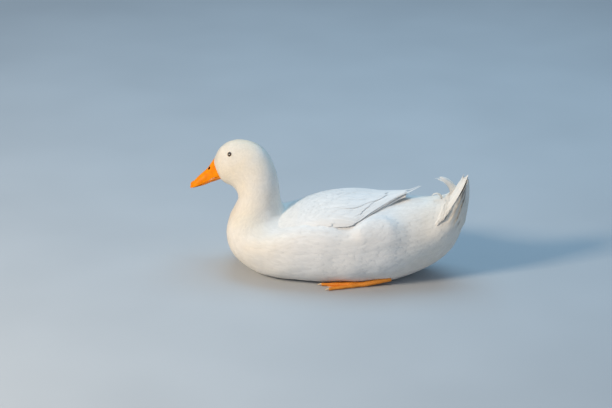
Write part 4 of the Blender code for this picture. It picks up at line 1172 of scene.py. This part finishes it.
def build_eyes(body):
    wet = eye_material()
    lid_skin = Look("lid_skin", (0.78, 0.68, 0.52), 0.7).material
    for side, centre, out in eye_frames(body):
        turn = Vector((0.0, 0.0, 1.0)).rotation_difference(Vector(out)).to_matrix().to_4x4()
        place = Matrix.Translation(Vector(centre)) @ turn
        name = "eyeball_left" if side > 0 else "eyeball_right"
        eye = ball(name, (0, 0, 0), (EYE_RADIUS,) * 3, Matrix.Identity(4), wet, 40, 28)
        eye.matrix_world = place
        eye.data.shade_smooth()
        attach(eye, "root")
        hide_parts("eye_left" if side > 0 else "eye_right")
        build_lid("lid_left" if side > 0 else "lid_right", place, lid_skin)


def foot_material():
    look = Look("foot_skin", (0.90, 0.33, 0.03), 0.55)
    scales = look.node("TexVoronoi", {"Vector": look.where(), "Scale": 700.0})["Distance"]
    look.set({"Base Color": look.ramp(scales, ((0.0, (0.95, 0.38, 0.04)), (0.9, (0.72, 0.22, 0.02))))})
    look.bump(scales, 0.6, 0.0005, invert=True)
    return look.material


def limb(name, points, radii, material, sides=16):
    """A round, slightly flattened body along points, kept above the floor."""
    along = units(np.gradient(points, axis=0))
    side = units(np.cross(along, (0.0, 0.0, 1.0)))
    up = np.cross(side, along)
    rings = []
    for here, right, above, radius in zip(points, side, up, radii):
        a = np.linspace(0.0, 2 * pi, sides, endpoint=False)[:, None]
        ring = here + right * radius * np.cos(a) + above * radius * LIMB_FLAT * np.sin(a)
        ring[:, 2] = np.maximum(ring[:, 2], 0.0)
        rings.append(ring)
    return loft_piece(name, rings, material)


def web(first, last, flip, material):
    """The skin between two toes, thicker at the toes, with a hollow front edge."""
    share = np.linspace(0.0, 1.0, 13)
    reach = WEB_REACH - WEB_HOLLOW * np.sin(share * pi)
    ends = (first + (last - first) * share[:, None] - FOOT_ROOT) * reach[:, None]
    top = FOOT_ROOT + ends[:, None] * np.linspace(0.04, 1.0, 10)[:, None]
    low = top.copy()
    top[..., 2] = WEB_THICK + WEB_RIM * np.abs(2 * share[:, None] - 1) ** 3
    low[..., 2] = 0.0
    return loft_piece("web", [np.concatenate((top[:, k], low[::-1, k])) * flip for k in range(10)], material)


def build_claw(name, tip, flip, material):
    """A claw that goes on from a toe's tip and bends down."""
    along = np.linspace(0.0, 1.0, 8)[:, None]
    lift = np.array((0, 0, CLAW_LIFT)) * (np.sin(along * pi) - along ** 2)
    path = tip + units(tip - FOOT_ROOT) * (CLAW_BACK + CLAW_LENGTH * along) + lift
    return limb(name, path * flip, np.linspace(*CLAW_RADII, 8), material, 10)


def build_feet():
    skin = foot_material()
    claw_skin = Look("claw_horn", (0.80, 0.62, 0.40), 0.4).material
    steps = np.linspace(0.0, 1.0, 12)[:, None]
    along = np.linspace(0.0, 1.0, 26)
    joints = TOE_RADIUS * (1.1 - 0.45 * along) * (1.0 + 0.10 * np.cos(along * 6 * pi))
    for side in (1, -1):
        flip = np.array((side, 1.0, 1.0))
        name = "foot_left" if side > 0 else "foot_right"
        points = ANKLE + (FOOT_ROOT - ANKLE) * steps
        shank = limb(name, points * flip, np.linspace(*SHANK_RADII, 12), skin)
        for tip in TOE_TIPS:
            points = FOOT_ROOT + (tip - FOOT_ROOT) * along[:, None]
            boolean(shank, limb("toe", points * flip, joints, skin), "UNION")
        points = FOOT_ROOT + (HIND_TOE - FOOT_ROOT) * steps
        boolean(shank, limb("toe", points * flip, np.linspace(*HIND_RADII, 12), skin), "UNION")
        for first, last in zip(TOE_TIPS[:-1], TOE_TIPS[1:]):
            boolean(shank, web(first, last, flip, skin), "UNION")
        claw = "claw_left_%d" if side > 0 else "claw_right_%d"
        claws = [build_claw(claw % k, tip, flip, claw_skin) for k, tip in enumerate(TOE_TIPS)]
        for piece in [shank] + claws:
            hard_smooth(piece)
            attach(piece, "root")
        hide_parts("leg_left" if side > 0 else "leg_right")


def build_camera():
    data = bpy.data.cameras.new("camera")
    data.lens = CAMERA_LENS
    data.sensor_width = SENSOR
    camera = placed("camera", data)
    back = Vector((sin(CAMERA_AZIMUTH) * cos(CAMERA_HEIGHT), -cos(CAMERA_AZIMUTH) * cos(CAMERA_HEIGHT),
                   sin(CAMERA_HEIGHT)))
    camera.location = LOOK_AT + back * (PHOTO_WIDTH / PIXELS_PER_METRE * CAMERA_LENS / SENSOR)
    camera.rotation_euler = (-back).to_track_quat("-Z", "Y").to_euler()
    bpy.context.scene.camera = camera


def build_stage():
    look = Look("floor_pale", (0.50, 0.53, 0.56), 0.8)
    colour = look.ramp(look.noise(3.0), ((0.3, (0.46, 0.48, 0.50)), (0.7, (0.50, 0.52, 0.54))))
    look.set({"Base Color": colour})
    mesh = bpy.data.meshes.new("floor")
    corners = [(x * FLOOR_HALF, y * FLOOR_HALF, 0) for x, y in ((-1, -1), (1, -1), (1, 1), (-1, 1))]
    mesh.from_pydata(corners, [], [(0, 1, 2, 3)])
    mesh.materials.append(look.material)
    floor = placed("floor", mesh)
    for name, place, size, power, colour in LIGHTS:
        data = bpy.data.lights.new(name, "AREA")
        data.size = size
        data.energy = power
        data.color = colour
        lamp = placed(name, data)
        lamp.location = place
        lamp.rotation_euler = (LIT_POINT - lamp.location).to_track_quat("-Z", "Y").to_euler()
    world = bpy.data.worlds.new("studio")
    world.use_nodes = True
    background = world.node_tree.nodes["Background"]
    background.inputs["Color"].default_value = (*WORLD_COLOUR, 1.0)
    background.inputs["Strength"].default_value = WORLD_STRENGTH
    bpy.context.scene.world = world
    bpy.context.scene.view_settings.view_transform = "Standard"


def main():
    build_camera()
    plumage = plumage_material("plumage_vanes")
    down = plumage_material("plumage_skin", barbs=False)
    body = body_patch()
    build_skin(body, down)
    build_coat(body, plumage)
    for side in (1, -1):
        patch = wing_patch(side)
        wing_slab(side, patch, down)
        wing_feathers(side, patch, plumage)
    build_mantle(plumage)
    build_tail(body, plumage)
    build_bill()
    build_eyes(body)
    build_feet()
    build_stage()


main()
